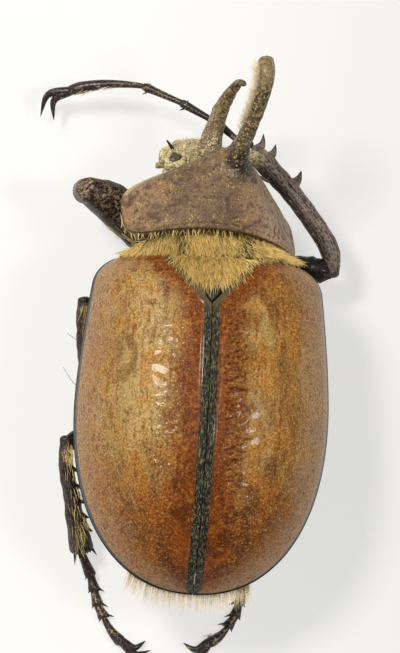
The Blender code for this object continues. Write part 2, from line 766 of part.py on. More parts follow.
# Each foot's joints from the tibia to the claws, how far its last joint bows, and its two claws' tips
FEET = {
    "left_fore": {
        "joints": (
            (-3.0, 12.65, 0.5),
            (-2.2, 10.8, 0.42),
            (-0.9, 8.4, 0.38),
            (0.3, 5.1, 0.38),
            (1.0, 1.8, 0.38),
            (0.9, -5.0, 0.38),
        ),
        "bow": (0.6, 0.0, 0.0),
        "claws": ((-0.6, -6.9, 0.33), (1.9, -7.1, 0.33)),
    },
    "right_fore": {
        "joints": (
            (3.05, 23.95, 7.6),
            (2.4, 24.15, 7.25),
            (0.4, 25.75, 6.95),
            (-2.95, 27.6, 6.0),
            (-6.35, 29.05, 5.0),
            (-13.1, 28.55, 3.0),
        ),
        "bow": (-0.05, 0.4, 0.1),
        "claws": ((-15.4, 26.3, 1.5), (-14.2, 25.95, 2.0)),
    },
    "left_middle": {
        "joints": (
            (-9.1, -0.1, 0.6),
            (-8.8, -1.2, 0.42),
            (-8.5, -2.6, 0.38),
            (-8.3, -4.0, 0.38),
            (-8.1, -5.4, 0.38),
            (-7.7, -8.3, 0.38),
        ),
        "bow": (-0.2, 0.0, 0.0),
        "claws": ((-8.7, -9.9, 0.33), (-6.7, -9.8, 0.33)),
    },
    "right_middle": {
        "joints": (
            (8.1, -1.7, 0.6),
            (7.8, -2.7, 0.42),
            (7.5, -4.0, 0.38),
            (7.3, -5.4, 0.38),
            (7.0, -6.8, 0.38),
            (6.2, -9.5, 0.38),
        ),
        "bow": (0.2, 0.0, 0.0),
        "claws": ((6.9, -11.2, 0.33), (4.9, -10.8, 0.33)),
    },
    "left_hind": {
        "joints": (
            (-9.47, -13.75, 1.4),
            (-8.65, -15.3, 0.5),
            (-8.3, -16.5, 0.38),
            (-7.9, -17.9, 0.38),
            (-7.3, -18.95, 0.38),
            (-5.45, -21.15, 0.38),
        ),
        "bow": (-0.1, -0.2, 0.0),
        "claws": ((-3.4, -20.85, 0.33), (-2.9, -21.7, 0.33)),
    },
    "right_hind": {
        "joints": (
            (5.17, -14.9, 1.15),
            (5.15, -15.9, 0.5),
            (4.9, -17.0, 0.38),
            (4.55, -18.2, 0.38),
            (3.95, -19.15, 0.38),
            (2.2, -20.75, 0.38),
        ),
        "bow": (0.15, -0.15, 0.0),
        "claws": ((0.0, -20.85, 0.33), (0.95, -21.6, 0.33)),
    },
}

# Outer teeth of the fore tibiae: share along, how far each stands out and leans on, its radius
FORE_TEETH = ((0.64, 1.1, 0.4, 0.62), (0.9, 0.95, 0.35, 0.55), (0.99, 1.05, 0.5, 0.45))
FORE_SPUR = (0.74, 0.55, 2.5, 0.3)
RIDGE_SPINES = (0.42, 0.7)
SPINE_DROPS = (-0.35, 0.4)
SPINE_REACH = (0.55, 0.6)  # out from the tibia and along it
SPINE_RADIUS = 0.27
TIP_SPURS = ((1.0, 1.1), (0.35, 0.8), (-0.75, 1.5), (-0.3, 1.1))  # share of the radius, and length
ROOT_SINK = 0.3  # how far out in its tibia a tooth or spine starts, as a share of the radius
FOOT_SPINE = (0.75, 0.65, 0.26)  # out, along and radius
CLAW_RADIUS = 0.3
CLAW_BOW = 0.28  # how far a claw bows, as a share of its length
FOOT_JOINT = ((0.0, 0.25), (0.35, 0.31), (0.8, 0.42), (1.0, 0.3))  # share along and half width
LAST_JOINT = ((0.0, 0.25), (0.3, 0.31), (0.6, 0.39), (0.85, 0.47), (1.0, 0.36))


def along_tibia(name, share):
    """A place on a tibia's middle line, its direction and its radius."""
    leg = LEGS[name]
    path = [place for place, _ in curve_through(leg["tibia"], 8)]
    pieces = [np.linalg.norm(b - a) for a, b in zip(path, path[1:])]
    lengths = np.concatenate(([0.0], np.cumsum(pieces)))
    at = share * lengths[-1]
    place = np.array([np.interp(at, lengths, [point[axis] for point in path]) for axis in range(3)])
    i = min(len(path) - 2, int(np.searchsorted(lengths, at)))
    radii = leg["tibia_radii"]
    radius = float(np.interp(share * (len(radii) - 1), range(len(radii)), radii))
    return place, unit(path[i + 1] - path[max(0, i - 1)]), radius


def tooth(name, side, spec):
    """A tooth of a tibia, on the outer side if side is 1 and the inner if it is -1."""
    share, out, lean, thick = spec
    place, along, radius = along_tibia(name, share)
    outward = unit(np.cross(along, (0, 0, 1))) * side
    tip = place + outward * (radius + out) + along * lean
    return spike(place + outward * radius * ROOT_SINK, tip, thick, "dark", sides=5, steps=2)


def tibia(name):
    leg = LEGS[name]
    sign = SIDES[name.split("_")[0]]
    lean = leg.get("lean", (0, 0, 1))
    piece = limb(name + "_tibia", leg["tibia"], leg["tibia_radii"], "dark", sides=9, lean=lean, high=0.8)
    additions = []
    if name.endswith("fore"):
        additions += [tooth(name, sign, spec) for spec in FORE_TEETH]
        additions.append(tooth(name, -sign, FORE_SPUR))
        return fuse(piece, additions)
    out, on = SPINE_REACH
    for share in RIDGE_SPINES:
        place, along, radius = along_tibia(name, share)
        outward = unit(np.cross(along, (0, 0, 1))) * sign
        for drop in SPINE_DROPS:
            tip = place + outward * (radius + out) + along * on + np.array((0, 0, drop))
            additions.append(spike(place + outward * radius * ROOT_SINK, tip, SPINE_RADIUS, "dark"))
    place, along, radius = along_tibia(name, 0.97)
    outward = unit(np.cross(along, (0, 0, 1))) * sign * radius
    for turn, length in TIP_SPURS:
        tip = place + outward * turn * 1.15 + along * (length + GAP) + np.array((0, 0, 0.25))
        additions.append(spike(place + outward * turn * 0.6, tip, SPINE_RADIUS, "dark"))
    return fuse(piece, additions)


def foot(name):
    """Five joints, each widening to its end with a small spur, and two claws."""
    joints = [np.array(joint) for joint in FEET[name]["joints"]]
    bow = np.array(FEET[name]["bow"])
    places, radii, additions = [], [], []
    for i, (start, end) in enumerate(zip(joints, joints[1:])):
        last = i == len(joints) - 2
        for share, radius in LAST_JOINT if last else FOOT_JOINT:
            if share == 0.0 and places:
                continue
            bowed = bow * 4 * share * (1 - share) if last else 0.0
            places.append(blend(start, end, share) + bowed)
            radii.append(radius)
        along = unit(end - start)
        aside = unit(np.cross(along, (0, 0, 1)))
        if 0 < i and not last:
            sign = -1 if name in ("left_hind", "left_middle", "right_fore") else 1
            out, on, thick = FOOT_SPINE
            root = blend(start, end, 0.85)
            additions.append(spike(root, root + aside * sign * out + along * on, thick, "dark"))
    rings = tube_rings(places, radii, 7)
    skin, faces = ring_faces(rings)
    piece = solid(name + "_tarsus", above_floor(skin), faces, "dark")
    root = blend(joints[-2], joints[-1], 0.97)
    along = unit(joints[-1] - joints[-2])
    for tip in FEET[name]["claws"]:
        chord = np.array(tip) - root
        outward = unit(along - chord * (along @ chord) / (chord @ chord))
        bend = outward * CLAW_BOW * np.linalg.norm(chord)
        additions.append(spike(root, tip, CLAW_RADIUS, "dark", bend=bend, sides=5, steps=2))
    return fuse(piece, additions)


def legs():
    pieces = []
    for name, leg in LEGS.items():
        fore = name.endswith("fore")
        cover = None if fore else under_trunk
        pieces.append(ellipsoid(name + "_coxa", leg["coxa"], leg["coxa_radii"], "dark", cover=cover))
        pieces.append(limb(name + "_femur", leg["femur"], leg["femur_radii"], "dark", sides=10, high=0.9))
        pieces.append(tibia(name))
        pieces.append(foot(name))
    return pieces


def centre_on_floor(pieces):
    """Moves the beetle so that the middle of its box stands over the origin."""
    corners = np.array([vertex.co[:] for piece in pieces for vertex in piece.data.vertices])
    middle = (corners.min(axis=0) + corners.max(axis=0)) / 2
    shift = Matrix.Translation((-middle[0], -middle[1], -corners.min(axis=0)[2]))
    for piece in pieces:
        piece.data.transform(shift)


def main():
    clear_scene()
    pieces = [elytron(side) for side in SIDES]
    pieces += [scutellum(), pterothorax(), abdomen(), pygidium(), mesothorax(), prothorax(), head()]
    pieces.append(horn("pronotal_horn", PRONOTAL_HORN, (0.0, 1.0)))
    pieces.append(horn("head_horn", HEAD_HORN, (0.35, 0.94)))
    pieces += [eye(side + "_eye", sign, EYE_RADIUS) for side, sign in SIDES.items()]
    pieces += feelers() + legs()
    centre_on_floor(pieces)


main()
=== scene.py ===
"""Golofa beetle: a dried male at life size, its shell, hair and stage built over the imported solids.

Shapes are written in millimetres from the middle of the body's seam line: +Y runs to the head,
+X to the beetle's right and +Z up from the floor. The prothorax and head hang turned on the
neck, so their shapes are written as x, f forward and u up from the middle of the neck.
"""

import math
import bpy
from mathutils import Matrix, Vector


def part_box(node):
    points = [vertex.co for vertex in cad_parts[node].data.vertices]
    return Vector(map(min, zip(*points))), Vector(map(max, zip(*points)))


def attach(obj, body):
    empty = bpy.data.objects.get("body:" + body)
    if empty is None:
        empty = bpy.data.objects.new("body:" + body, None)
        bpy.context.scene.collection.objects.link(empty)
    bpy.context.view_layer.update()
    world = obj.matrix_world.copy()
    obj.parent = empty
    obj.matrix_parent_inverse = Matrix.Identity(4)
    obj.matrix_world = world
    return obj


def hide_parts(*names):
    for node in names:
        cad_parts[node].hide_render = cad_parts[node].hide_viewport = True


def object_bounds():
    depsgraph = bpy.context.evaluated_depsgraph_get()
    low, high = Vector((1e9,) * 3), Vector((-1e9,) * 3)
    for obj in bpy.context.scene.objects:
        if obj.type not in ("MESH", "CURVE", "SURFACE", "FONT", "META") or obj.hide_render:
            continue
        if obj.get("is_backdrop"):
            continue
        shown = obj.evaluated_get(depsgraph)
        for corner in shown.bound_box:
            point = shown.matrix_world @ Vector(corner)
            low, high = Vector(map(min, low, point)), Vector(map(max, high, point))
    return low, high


bl_info = {
    "name": "Golofa Beetle",
    "version": (1, 0, 0),
    "blender": (4, 5, 0),
    "location": "3D View > Sidebar > Beetle",
    "description": "Dried golofa beetle with shell, hair and a pale studio stage",
    "category": "Add Mesh",
}

import bmesh
import bpy
import numpy as np
from bpy.props import FloatProperty, FloatVectorProperty, IntProperty, PointerProperty
from mathutils import Euler, Matrix, Vector

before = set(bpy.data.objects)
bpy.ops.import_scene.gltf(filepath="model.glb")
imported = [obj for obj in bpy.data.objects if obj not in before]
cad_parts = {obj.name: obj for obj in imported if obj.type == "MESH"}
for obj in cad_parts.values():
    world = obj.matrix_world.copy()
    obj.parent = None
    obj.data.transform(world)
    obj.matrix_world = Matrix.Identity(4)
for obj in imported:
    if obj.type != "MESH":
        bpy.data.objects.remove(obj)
CAD_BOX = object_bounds()
MM = 0.001

# Wing cases
CASE_HALF_WIDTH = 11.45
CASE_WIDEST_Y = -1.0
CASE_APEX_Y = -17.4
CASE_BASE_Y = 12.6
CASE_BASE_HALF_WIDTH = 10.0
CASE_MARGIN_Z = 9.2
CASE_HEIGHT = 8.3
CASE_BASE_DROP = 0.30
CASE_REAR_ROUND = 2.25
CASE_LAST_Y = -17.35  # where the solid's last row lies
CASE_INNER_X = 0.15
SHOULDER_RADIUS = 2.4
SHOULDER_DROP = 1.1
SHOULDER_KNOB = (7.4, 10.0, 1.4, 0.35)
REAR_KNOB = (6.2, -11.3, 2.0, 0.25)
PLATE_TIP_Y = 8.0
PLATE_HALF_WIDTH = 3.9
PLATE_THICKNESS = 0.5

# Trunk
BELLY_Z = 4.0
WAIST_Y = -1.9
ABDOMEN_END_Y = -15.3
TRUNK_SETBACK = 0.35
TRUNK_DEPTH = 1.06  # under the outside of the wing cases
FRONT_SLOPE = 2.4
STERNITES = 6
STERNITE_STEP = 0.18
STERNITE_SHORTENING = 0.9  # how the belly's plates shorten to the tail
STERNITE_PROFILE = ((0.0, 1.2), (0.04, 1.0), (0.1, 0.45), (0.2, 0.15), (0.5, 0.0), (0.8, 0.0), (0.93, 0.1))
GAP = 0.3
BACK_POINTS, BELLY_POINTS = 41, 39  # how many points each ring of the trunk has above and below
TRUNK_RINGS, TAIL_RINGS, COLLAR_RINGS = 40, 16, 24

# Neck, shield, collar and head
NECK = np.array((0.4, 14.62, 10.25))
NECK_TURN_DEG = (-29.8, 21.6, -2.1)
SHIELD_HALF_WIDTH = 8.6
SHIELD_CENTRE_F = 2.6
SHIELD_HALF_LENGTH = 3.7
SHIELD_REAR_POWER = 5.0
SHIELD_FRONT_POWER = 2.5
SHIELD_SIDE_U = -0.9
SHIELD_RISE = 3.9
SHIELD_OVERHANG = 1.15
SHIELD_ROWS, SHIELD_COLUMNS = 76, 192
HORN_ROOT = (4.95, 6.0)
HORN_ROOT_RADIUS = 1.15
# The painted shade beside the horn's root is centred here
PAINTED_SHADE_CENTRE = np.array((0.6, 4.75, 6.1))  # the middle of the black patch beside the horn
STERNUM_U = -5.5
COLLAR_HALF_WIDTH = 6.0
COLLAR_TOP_U = 1.85
COLLAR_BOTTOM_U = -4.3
COLLAR_F = -0.28
PRONOTAL_HORN = (
    (5.0, 6.33, 1.05), (5.4, 7.9, 0.8), (5.95, 9.8, 0.68), (6.7, 11.66, 0.66), (7.55, 13.0, 0.7),
    (8.76, 13.95, 0.78), (9.85, 14.2, 0.72),
)
HEAD_HORN = (
    (9.15, 2.15, 1.05), (10.0, 3.15, 0.88), (10.75, 4.5, 0.76), (11.25, 6.3, 0.62), (11.32, 7.9, 0.48),
    (11.1, 9.1, 0.35), (10.5, 9.75, 0.22),
)
HEAD_STATIONS = (
    (5.5, 2.7, 0.9, -2.75), (6.75, 3.1, 1.5, -3.0), (7.6, 3.55, 1.8, -3.3), (8.5, 3.2, 1.9, -3.35),
    (9.4, 2.5, 1.75, -3.1), (10.3, 2.15, 0.95, -2.6), (11.0, 1.9, -0.15, -2.1),
    (11.45, 1.65, -0.95, -1.75),
)
EYE_CENTRE = np.array((3.2, 7.7, 0.75))
EYE_RADIUS = 0.9
# Rows, columns and the angle left at the poles of round forms
LENS_GRID = (26, 40, 0.06)
LUMP_GRID = (9, 14, 0.15)
COXA_GRID = (22, 36, 0.05)
LUMP_SHAPE = np.array((1.2, 1.0, 0.8))
BROW = ((2.4, 8.3, 0.75, 0.35), (3.1, 8.3, 0.7, 0.3), (3.75, 8.0, 0.6, 0.22), (4.0, 7.6, 0.55, 0.12))
BROW_SPIKE = ((-3.0, 8.4, 0.5), (-3.35, 9.0, 1.0), (-3.9, 9.6, 1.25))
# Lumps of dust: round each eye, over the head, and in two groups beside each eye, which say how
# many they are and the reach of their x, f, u and size
EYE_LUMPS, HEAD_LUMPS = 36, 170
CRUST = (
    (16, ((2.8, 4.0), (7.4, 8.3), (0.45, 0.9)), (0.16, 0.34)),
    (20, ((2.5, 4.0), (6.5, 7.3), (0.1, 0.9)), (0.2, 0.4)),
)
FEELERS = {
    "antenna": (
        (1.8, 9.2, -3.5, 0.3), (2.6, 9.0, -3.65, 0.28), (3.1, 8.3, -3.8, 0.26), (3.2, 7.4, -3.85, 0.42),
        (3.0, 6.7, -3.85, 0.4),
    ),
    "palp": (
        (0.9, 9.9, -3.45, 0.28), (1.3, 10.6, -3.75, 0.27), (1.7, 11.1, -4.1, 0.3), (1.9, 11.2, -4.5, 0.26),
    ),
    "mandible": (
        (2.2, 10.5, -2.85, 0.42), (2.15, 11.2, -2.65, 0.42), (1.7, 11.6, -2.4, 0.34),
        (1.15, 11.75, -2.15, 0.26),
    ),
}

SIDES = {"left": -1, "right": 1}
UP = np.array((0.0, 0.0, 1.0))
FORWARD = np.array((0.0, 1.0, 0.0))

# Legs: the coxa's middle and radii, and stations along femur and tibia with half widths
LEGS = {
    "left_fore": {
        "coxa": ((-4.05, 14.55, 4.0), (1.2, 1.3, 0.95)),
        "femur": (
            (-5.75, 15.0, 4.8, 0.88), (-7.25, 16.75, 5.75, 1.68), (-8.95, 18.0, 7.1, 1.82),
            (-11.2, 18.85, 8.5, 1.15),
        ),
        "tibia": (
            (-11.35, 18.85, 6.1, 0.75), (-10.9, 18.5, 4.9, 0.75), (-7.8, 16.2, 2.85, 0.72),
            (-3.6, 13.3, 0.95, 0.9),
        ),
        "lean": (0.58, 0.81, 0.0),
    },
    "right_fore": {
        "coxa": ((-0.2, 14.5, 2.3), (1.3, 1.3, 0.9)),
        "femur": (
            (1.85, 14.2, 2.1, 0.85), (4.6, 13.9, 2.2, 1.05), (7.6, 13.7, 3.1, 0.95),
            (9.7, 13.45, 4.15, 1.12),
        ),
        "tibia": (
            (11.45, 13.1, 4.2, 0.8), (11.35, 14.8, 4.5, 0.88), (10.2, 16.75, 5.0, 0.9),
            (7.25, 20.15, 6.0, 0.9), (4.6, 22.55, 7.05, 0.97), (3.85, 23.1, 7.4, 0.88),
        ),
    },
    "left_middle": {
        "coxa": ((-3.1, 4.6, 3.4), (1.4, 1.2, 1.1)),
        "femur": ((-5.1, 5.2, 2.9, 0.85), (-7.0, 6.1, 3.2, 1.15), (-9.35, 7.75, 4.4, 0.85)),
        "tibia": (
            (-10.75, 9.2, 5.2, 0.62), (-10.8, 7.4, 4.8, 0.62), (-10.3, 4.4, 3.1, 0.75),
            (-9.5, 1.2, 1.1, 0.95),
        ),
    },
    "right_middle": {
        "coxa": ((3.1, 4.6, 3.4), (1.4, 1.2, 1.1)),
        "femur": ((5.1, 5.1, 2.9, 0.85), (6.6, 5.6, 3.1, 1.15), (8.3, 6.3, 3.9, 0.85)),
        "tibia": (
            (9.65, 7.2, 4.3, 0.62), (9.7, 5.4, 3.7, 0.62), (9.1, 2.4, 2.3, 0.75), (8.5, -0.4, 1.1, 0.95),
        ),
    },
    "left_hind": {
        "coxa": ((-3.6, -0.4, 3.4), (2.3, 1.1, 1.0)),
        "femur": ((-5.3, -2.2, 3.0, 0.95), (-8.0, -3.0, 3.4, 1.3), (-10.5, -3.6, 4.6, 0.85)),
        "tibia": (
            (-11.75, -3.6, 5.2, 0.6), (-11.75, -5.5, 4.9, 0.62), (-10.8, -9.3, 3.5, 0.78),
            (-9.75, -12.9, 1.95, 1.1),
        ),
    },
    "right_hind": {
        "coxa": ((3.6, -0.4, 3.4), (2.3, 1.1, 1.0)),
        "femur": ((4.9, -2.2, 3.0, 0.95), (6.8, -3.8, 3.2, 1.3), (8.6, -5.65, 3.95, 0.85)),
        "tibia": (
            (9.7, -6.5, 4.1, 0.6), (8.9, -8.3, 3.6, 0.62), (7.0, -11.3, 2.8, 0.78),
            (5.3, -13.8, 1.95, 1.05),
        ),
    },
}

# Feet: joints from the tibia to the claws, the last joint's bow, and the tips of the claws
FEET = {
    "left_fore": (
        (
            (-3.0, 12.65, 0.5), (-2.2, 10.8, 0.42), (-0.9, 8.4, 0.38), (0.3, 5.1, 0.38), (1.0, 1.8, 0.38),
            (0.9, -5.0, 0.38),
        ),
        (0.6, 0.0, 0.0),
        ((-0.6, -6.9, 0.33), (1.9, -7.1, 0.33)),
    ),
    "right_fore": (
        (
            (3.05, 23.95, 7.6), (2.4, 24.15, 7.25), (0.4, 25.75, 6.95), (-2.95, 27.6, 6.0),
            (-6.35, 29.05, 5.0), (-13.1, 28.55, 3.0),
        ),
        (-0.05, 0.4, 0.1),
        ((-15.4, 26.3, 1.5), (-14.2, 25.95, 2.0)),
    ),
    "left_middle": (
        (
            (-9.1, -0.1, 0.6), (-8.8, -1.2, 0.42), (-8.5, -2.6, 0.38), (-8.3, -4.0, 0.38),
            (-8.1, -5.4, 0.38), (-7.7, -8.3, 0.38),
        ),
        (-0.2, 0.0, 0.0),
        ((-8.7, -9.9, 0.33), (-6.7, -9.8, 0.33)),
    ),
    "right_middle": (
        (
            (8.1, -1.7, 0.6), (7.8, -2.7, 0.42), (7.5, -4.0, 0.38), (7.3, -5.4, 0.38), (7.0, -6.8, 0.38),
            (6.2, -9.5, 0.38),
        ),
        (0.2, 0.0, 0.0),
        ((6.9, -11.2, 0.33), (4.9, -10.8, 0.33)),
    ),
    "left_hind": (
        (
            (-9.47, -13.75, 1.4), (-8.65, -15.3, 0.5), (-8.3, -16.5, 0.38), (-7.9, -17.9, 0.38),
            (-7.3, -18.95, 0.38), (-5.45, -21.15, 0.38),
        ),
        (-0.1, -0.2, 0.0),
        ((-3.4, -20.85, 0.33), (-2.9, -21.7, 0.33)),
    ),
    "right_hind": (
        (
            (5.17, -14.9, 1.15), (5.15, -15.9, 0.5), (4.9, -17.0, 0.38), (4.55, -18.2, 0.38),
            (3.95, -19.15, 0.38), (2.2, -20.75, 0.38),
        ),
        (0.15, -0.15, 0.0),
        ((0.0, -20.85, 0.33), (0.95, -21.6, 0.33)),
    ),
}

# The record's material slot that each finish belongs to
SLOTS = {
    "wing_case_shell": "wing_case",
    "shield_shell": "shield",
    "horn_shell": "horn",
    "head_shell": "head",
    "eye_lens": "eye",
    "collar_shell": "hair_pad",
    "small_plate_shell": "hair_pad",
    "golden_hair": "hair_pad",
    "pale_hair": "hair_pad",
}

CASE_LOW, CASE_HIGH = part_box("left_elytron")
SHIFT = np.array((CASE_HIGH[0] / MM + CASE_INNER_X, CASE_LOW[1] / MM - CASE_LAST_Y, 0.0))


# Numbers and curves


def blend(a, b, t):
    return a + (b - a) * t


def ease(value, low, high):
    """0 below low, 1 above high and smooth between."""
    t = np.clip((value - low) / (high - low), 0.0, 1.0)
    return t * t * (3 - 2 * t)


def unit(vector):
    vector = np.asarray(vector, float)
    return vector / np.maximum(np.linalg.norm(vector, axis=-1, keepdims=True), 1e-12)


def turns(sides):
    return 2 * np.pi * np.arange(sides) / sides


def down_rows(grid, start=0.0, end=1.0):
    """A value for each point of a grid, that changes evenly from the first row to the last."""
    return np.linspace(start, end, len(grid))[:, None] * np.ones(grid.shape[1])


def beside(way):
    """The level direction to the right of a way."""
    return unit(np.cross(way, UP))


def curve_through(points, steps):
    """Places along a smooth curve through points of any number of values each."""
    points = [np.asarray(point, float) for point in points]
    padded = [2 * points[0] - points[1]] + points + [2 * points[-1] - points[-2]]
    places = []
    for span in range(len(points) - 1):
        a, b, c, d = padded[span : span + 4]
        for step in range(steps):
            t = step / steps
            cubic = (2 * a - 5 * b + 4 * c - d) * t**2 + (3 * b - a - 3 * c + d) * t**3
            places.append(0.5 * (2 * b + (c - a) * t + cubic))
    places.append(points[-1])
    return np.array(places)


def uneven(points, size, seed):
    """Smooth uneven values from -1 to 1 over points, with bumps of about that size."""
    rng = np.random.default_rng(seed)
    total = np.zeros(points.shape[:-1])
    for _ in range(9):
        way = unit(rng.normal(size=3)) * rng.uniform(0.7, 1.5) * math.pi / size
        total += np.sin(points @ way + rng.uniform(0, 2 * math.pi))
    return total / 5.0


def grid_normals(grid, wrap):
    """Unit normals of rows of points."""
    if wrap:
        across = np.roll(grid, -1, axis=1) - np.roll(grid, 1, axis=1)
    else:
        across = np.gradient(grid, axis=1)
    return unit(np.cross(across, np.gradient(grid, axis=0)))


# Shapes


def note(mesh, label, values):
    """Keeps a number or a vector at each point of a mesh."""
    values = np.asarray(values, np.float32)
    kind, field = ("FLOAT", "value") if values.ndim == 1 else ("FLOAT_VECTOR", "vector")
    layer = mesh.attributes.new(label, kind, "POINT")
    layer.data.foreach_set(field, values.reshape(-1))


def face_outward(mesh):
    form = bmesh.new()
    form.from_mesh(mesh)
    bmesh.ops.recalc_face_normals(form, faces=form.faces)
    bmesh.ops.triangulate(form, faces=[face for face in form.faces if len(face.verts) > 4])
    form.to_mesh(mesh)
    form.free()


def superellipse(t, power, root=None):
    return np.maximum(0.0, 1.0 - np.minimum(1.0, np.abs(t)) ** power) ** (1.0 / (root or power))


def shoulder_round(y):
    share = np.clip((y - (CASE_BASE_Y - SHOULDER_RADIUS)) / SHOULDER_RADIUS, 0.0, 1.0)
    return 1.0 - np.sqrt(1.0 - share**2)


def case_shares(y):
    rear = np.clip((CASE_WIDEST_Y - y) / (CASE_WIDEST_Y - CASE_APEX_Y), 0.0, 1.0)
    front = np.clip((y - CASE_WIDEST_Y) / (CASE_BASE_Y - CASE_WIDEST_Y), 0.0, 1.0)
    return rear, front


def case_half_width(y):
    rear, front = case_shares(y)
    narrowing = (CASE_HALF_WIDTH - CASE_BASE_HALF_WIDTH) * front**1.5
    rounded = CASE_HALF_WIDTH * superellipse(rear, CASE_REAR_ROUND)
    return rounded - narrowing - SHOULDER_RADIUS * shoulder_round(y)


def case_height(y):
    rear, front = case_shares(y)
    level = CASE_HEIGHT * superellipse(rear, 2.2, 1.35) - CASE_HEIGHT * CASE_BASE_DROP * front**2
    return level - SHOULDER_DROP * shoulder_round(y)


def knob(x, y, place):
    at_x, at_y, radius, height = place
    return height * np.exp(-((np.abs(x) - at_x) ** 2 + (y - at_y) ** 2) / radius**2)


def case_surface(q, y):
    """The outside of the wing cases, q running from -1 at the left margin to 1 at the right."""
    x = case_half_width(y) * q
    knobs = knob(x, y, SHOULDER_KNOB) + knob(x, y, REAR_KNOB)
    z = CASE_MARGIN_Z + case_height(y) * superellipse(q, 2.4, 1.7) + knobs * superellipse(q, 2.0)
    return np.stack((x, y + 0 * x, z), axis=-1)


def under_case(q, y, depth):
    step = 0.001
    q = np.clip(q, -0.998, 0.998)
    across = case_surface(q + step, y) - case_surface(q - step, y)
    along = case_surface(q, y + step) - case_surface(q, y - step)
    return case_surface(q, y) - unit(np.cross(across, along)) * depth


def inner_edge(y, start):
    """Where a wing case starts: at the seam, and beside the small plate in front of its tip."""
    share = np.clip((y - PLATE_TIP_Y) / (CASE_BASE_Y - PLATE_TIP_Y), 0.0, 1.0)
    return start + PLATE_HALF_WIDTH * share


def belly_z(y):
    front = max(0.0, (y - 8.0) / (CASE_BASE_Y - 8.0))
    rear = max(0.0, (-4.0 - y) / (-4.0 - CASE_APEX_Y))
    return BELLY_Z + 1.7 * front**2 + 4.6 * rear**2.2


def ring_angles():
    """Angles round the trunk: from the right over the back, then on under the belly."""
    over = np.pi * np.arange(BACK_POINTS) / (BACK_POINTS - 1)
    return over, np.pi + np.pi * np.arange(1, BELLY_POINTS + 1) / (BELLY_POINTS + 1)


def trunk_ring(y, step=0.0):
    """A ring of the trunk under the wing cases, from the right margin over the back."""
    over, under = ring_angles()
    back = under_case(np.cos(over), y + 0 * over, TRUNK_DEPTH + step)
    slope = FRONT_SLOPE * max(0.0, (y - 7.0) / (CASE_BASE_Y - 7.0))
    down = (-np.sin(under)) ** 0.85
    z = blend(CASE_MARGIN_Z, belly_z(y) + step, down)
    front = np.stack((back[0, 0] * np.cos(under), back[0, 1] - slope * down, z), axis=-1)
    return np.concatenate((back, front))


def neck_turn():
    return np.array(Euler([math.radians(angle) for angle in NECK_TURN_DEG], "XYZ").to_matrix())


def hung(points):
    """Places written in the neck's axes, in the beetle's."""
    return np.asarray(points, float) @ neck_turn().T + NECK


def shield_outline(angle):
    c, s = np.cos(angle), np.sin(angle)
    power = np.where(s > 0, SHIELD_FRONT_POWER, SHIELD_REAR_POWER)
    reach = 1.0 / (np.abs(c) ** power + np.abs(s) ** power) ** (1.0 / power)
    x = SHIELD_HALF_WIDTH * c * reach
    f = SHIELD_CENTRE_F + SHIELD_HALF_LENGTH * s * reach
    arch = blend(0.6, 2.5, (1 + s) / 2)
    rise = SHIELD_RISE + 0.3 * np.maximum(0.0, s)
    return np.stack((x, f, SHIELD_SIDE_U + rise * superellipse(c * reach, 2.0, 1.0) ** arch), axis=-1)


def shield_surface(angle, t):
    """The upper side of the prothorax, t running from the horn's root to the margin."""
    margin = shield_outline(angle)
    c, s = np.cos(angle), np.sin(angle)
    root_f, root_u = HORN_ROOT
    top = np.stack((HORN_ROOT_RADIUS * c, root_f + HORN_ROOT_RADIUS * s, root_u + 0 * c), axis=-1)
    away = margin - top
    side = np.abs(c) ** 1.5
    rear = np.maximum(0.0, -s)
    shoulder = top + np.stack((away[..., 0] * 0.24, away[..., 1] * 0.16, -0.7 - 0.9 * side), axis=-1)
    rise = 0.5 + 1.1 * side + 0.8 * rear
    edge = margin + np.stack((-away[..., 0] * 0.16, -away[..., 1] * 0.16, rise), axis=-1)
    t = np.asarray(t)[..., None]
    k = 1 - t
    return k**3 * top + 3 * k * k * t * shoulder + 3 * k * t * t * edge + t**3 * margin


class Shape:
    """Closed forms in millimetres, gathered into one piece, with values kept at their points."""

    def __init__(self):
        self.points = []
        self.faces = []
        self.values = {}
        self.count = 0

    def rings(self, grid, caps="poles", **values):
        """Adds a form skinned over equal closed rings, its ends closed by poles or by flat caps."""
        rows, columns = grid.shape[:2]
        faces = sheet_faces(rows, columns, True)
        points = grid.reshape(-1, 3)
        flat = {name: np.asarray(given, float).reshape(-1) for name, given in values.items()}
        last = (rows - 1) * columns
        if caps == "poles":
            pole = rows * columns
            points = np.concatenate((points, (grid[0].mean(axis=0), grid[-1].mean(axis=0))))
            for i in range(columns):
                j = (i + 1) % columns
                faces += [(pole, j, i), (pole + 1, last + i, last + j)]
            flat = {name: np.concatenate((given, (given[0], given[-1]))) for name, given in flat.items()}
        else:
            faces += [range(columns)[::-1], range(last, last + columns)]
        self.faces += [tuple(int(i) + self.count for i in face) for face in faces]
        self.points.append(points)
        self.count += len(points)
        for name, given in flat.items():
            self.values.setdefault(name, []).append(given)

    def piece(self, name, material, nodes=(), crease=60.0):
        """The piece in the scene, on the root body, in place of the solids that it stands for."""
        mesh = bpy.data.meshes.new(name)
        mesh.from_pydata(((np.concatenate(self.points) + SHIFT) * MM).tolist(), [], self.faces)
        for label, given in self.values.items():
            note(mesh, label, np.concatenate(given))
        face_outward(mesh)
        stand(name, mesh, material, nodes, crease)


def sheet_faces(rows, columns, wrap):
    index = np.arange(rows * columns).reshape(rows, columns)
    after = np.roll(index, -1, axis=1) if wrap else index[:, 1:]
    here = index if wrap else index[:, :-1]
    quads = np.stack((here[:-1], after[:-1], after[1:], here[1:]), axis=-1)
    return quads.reshape(-1, 4).tolist()


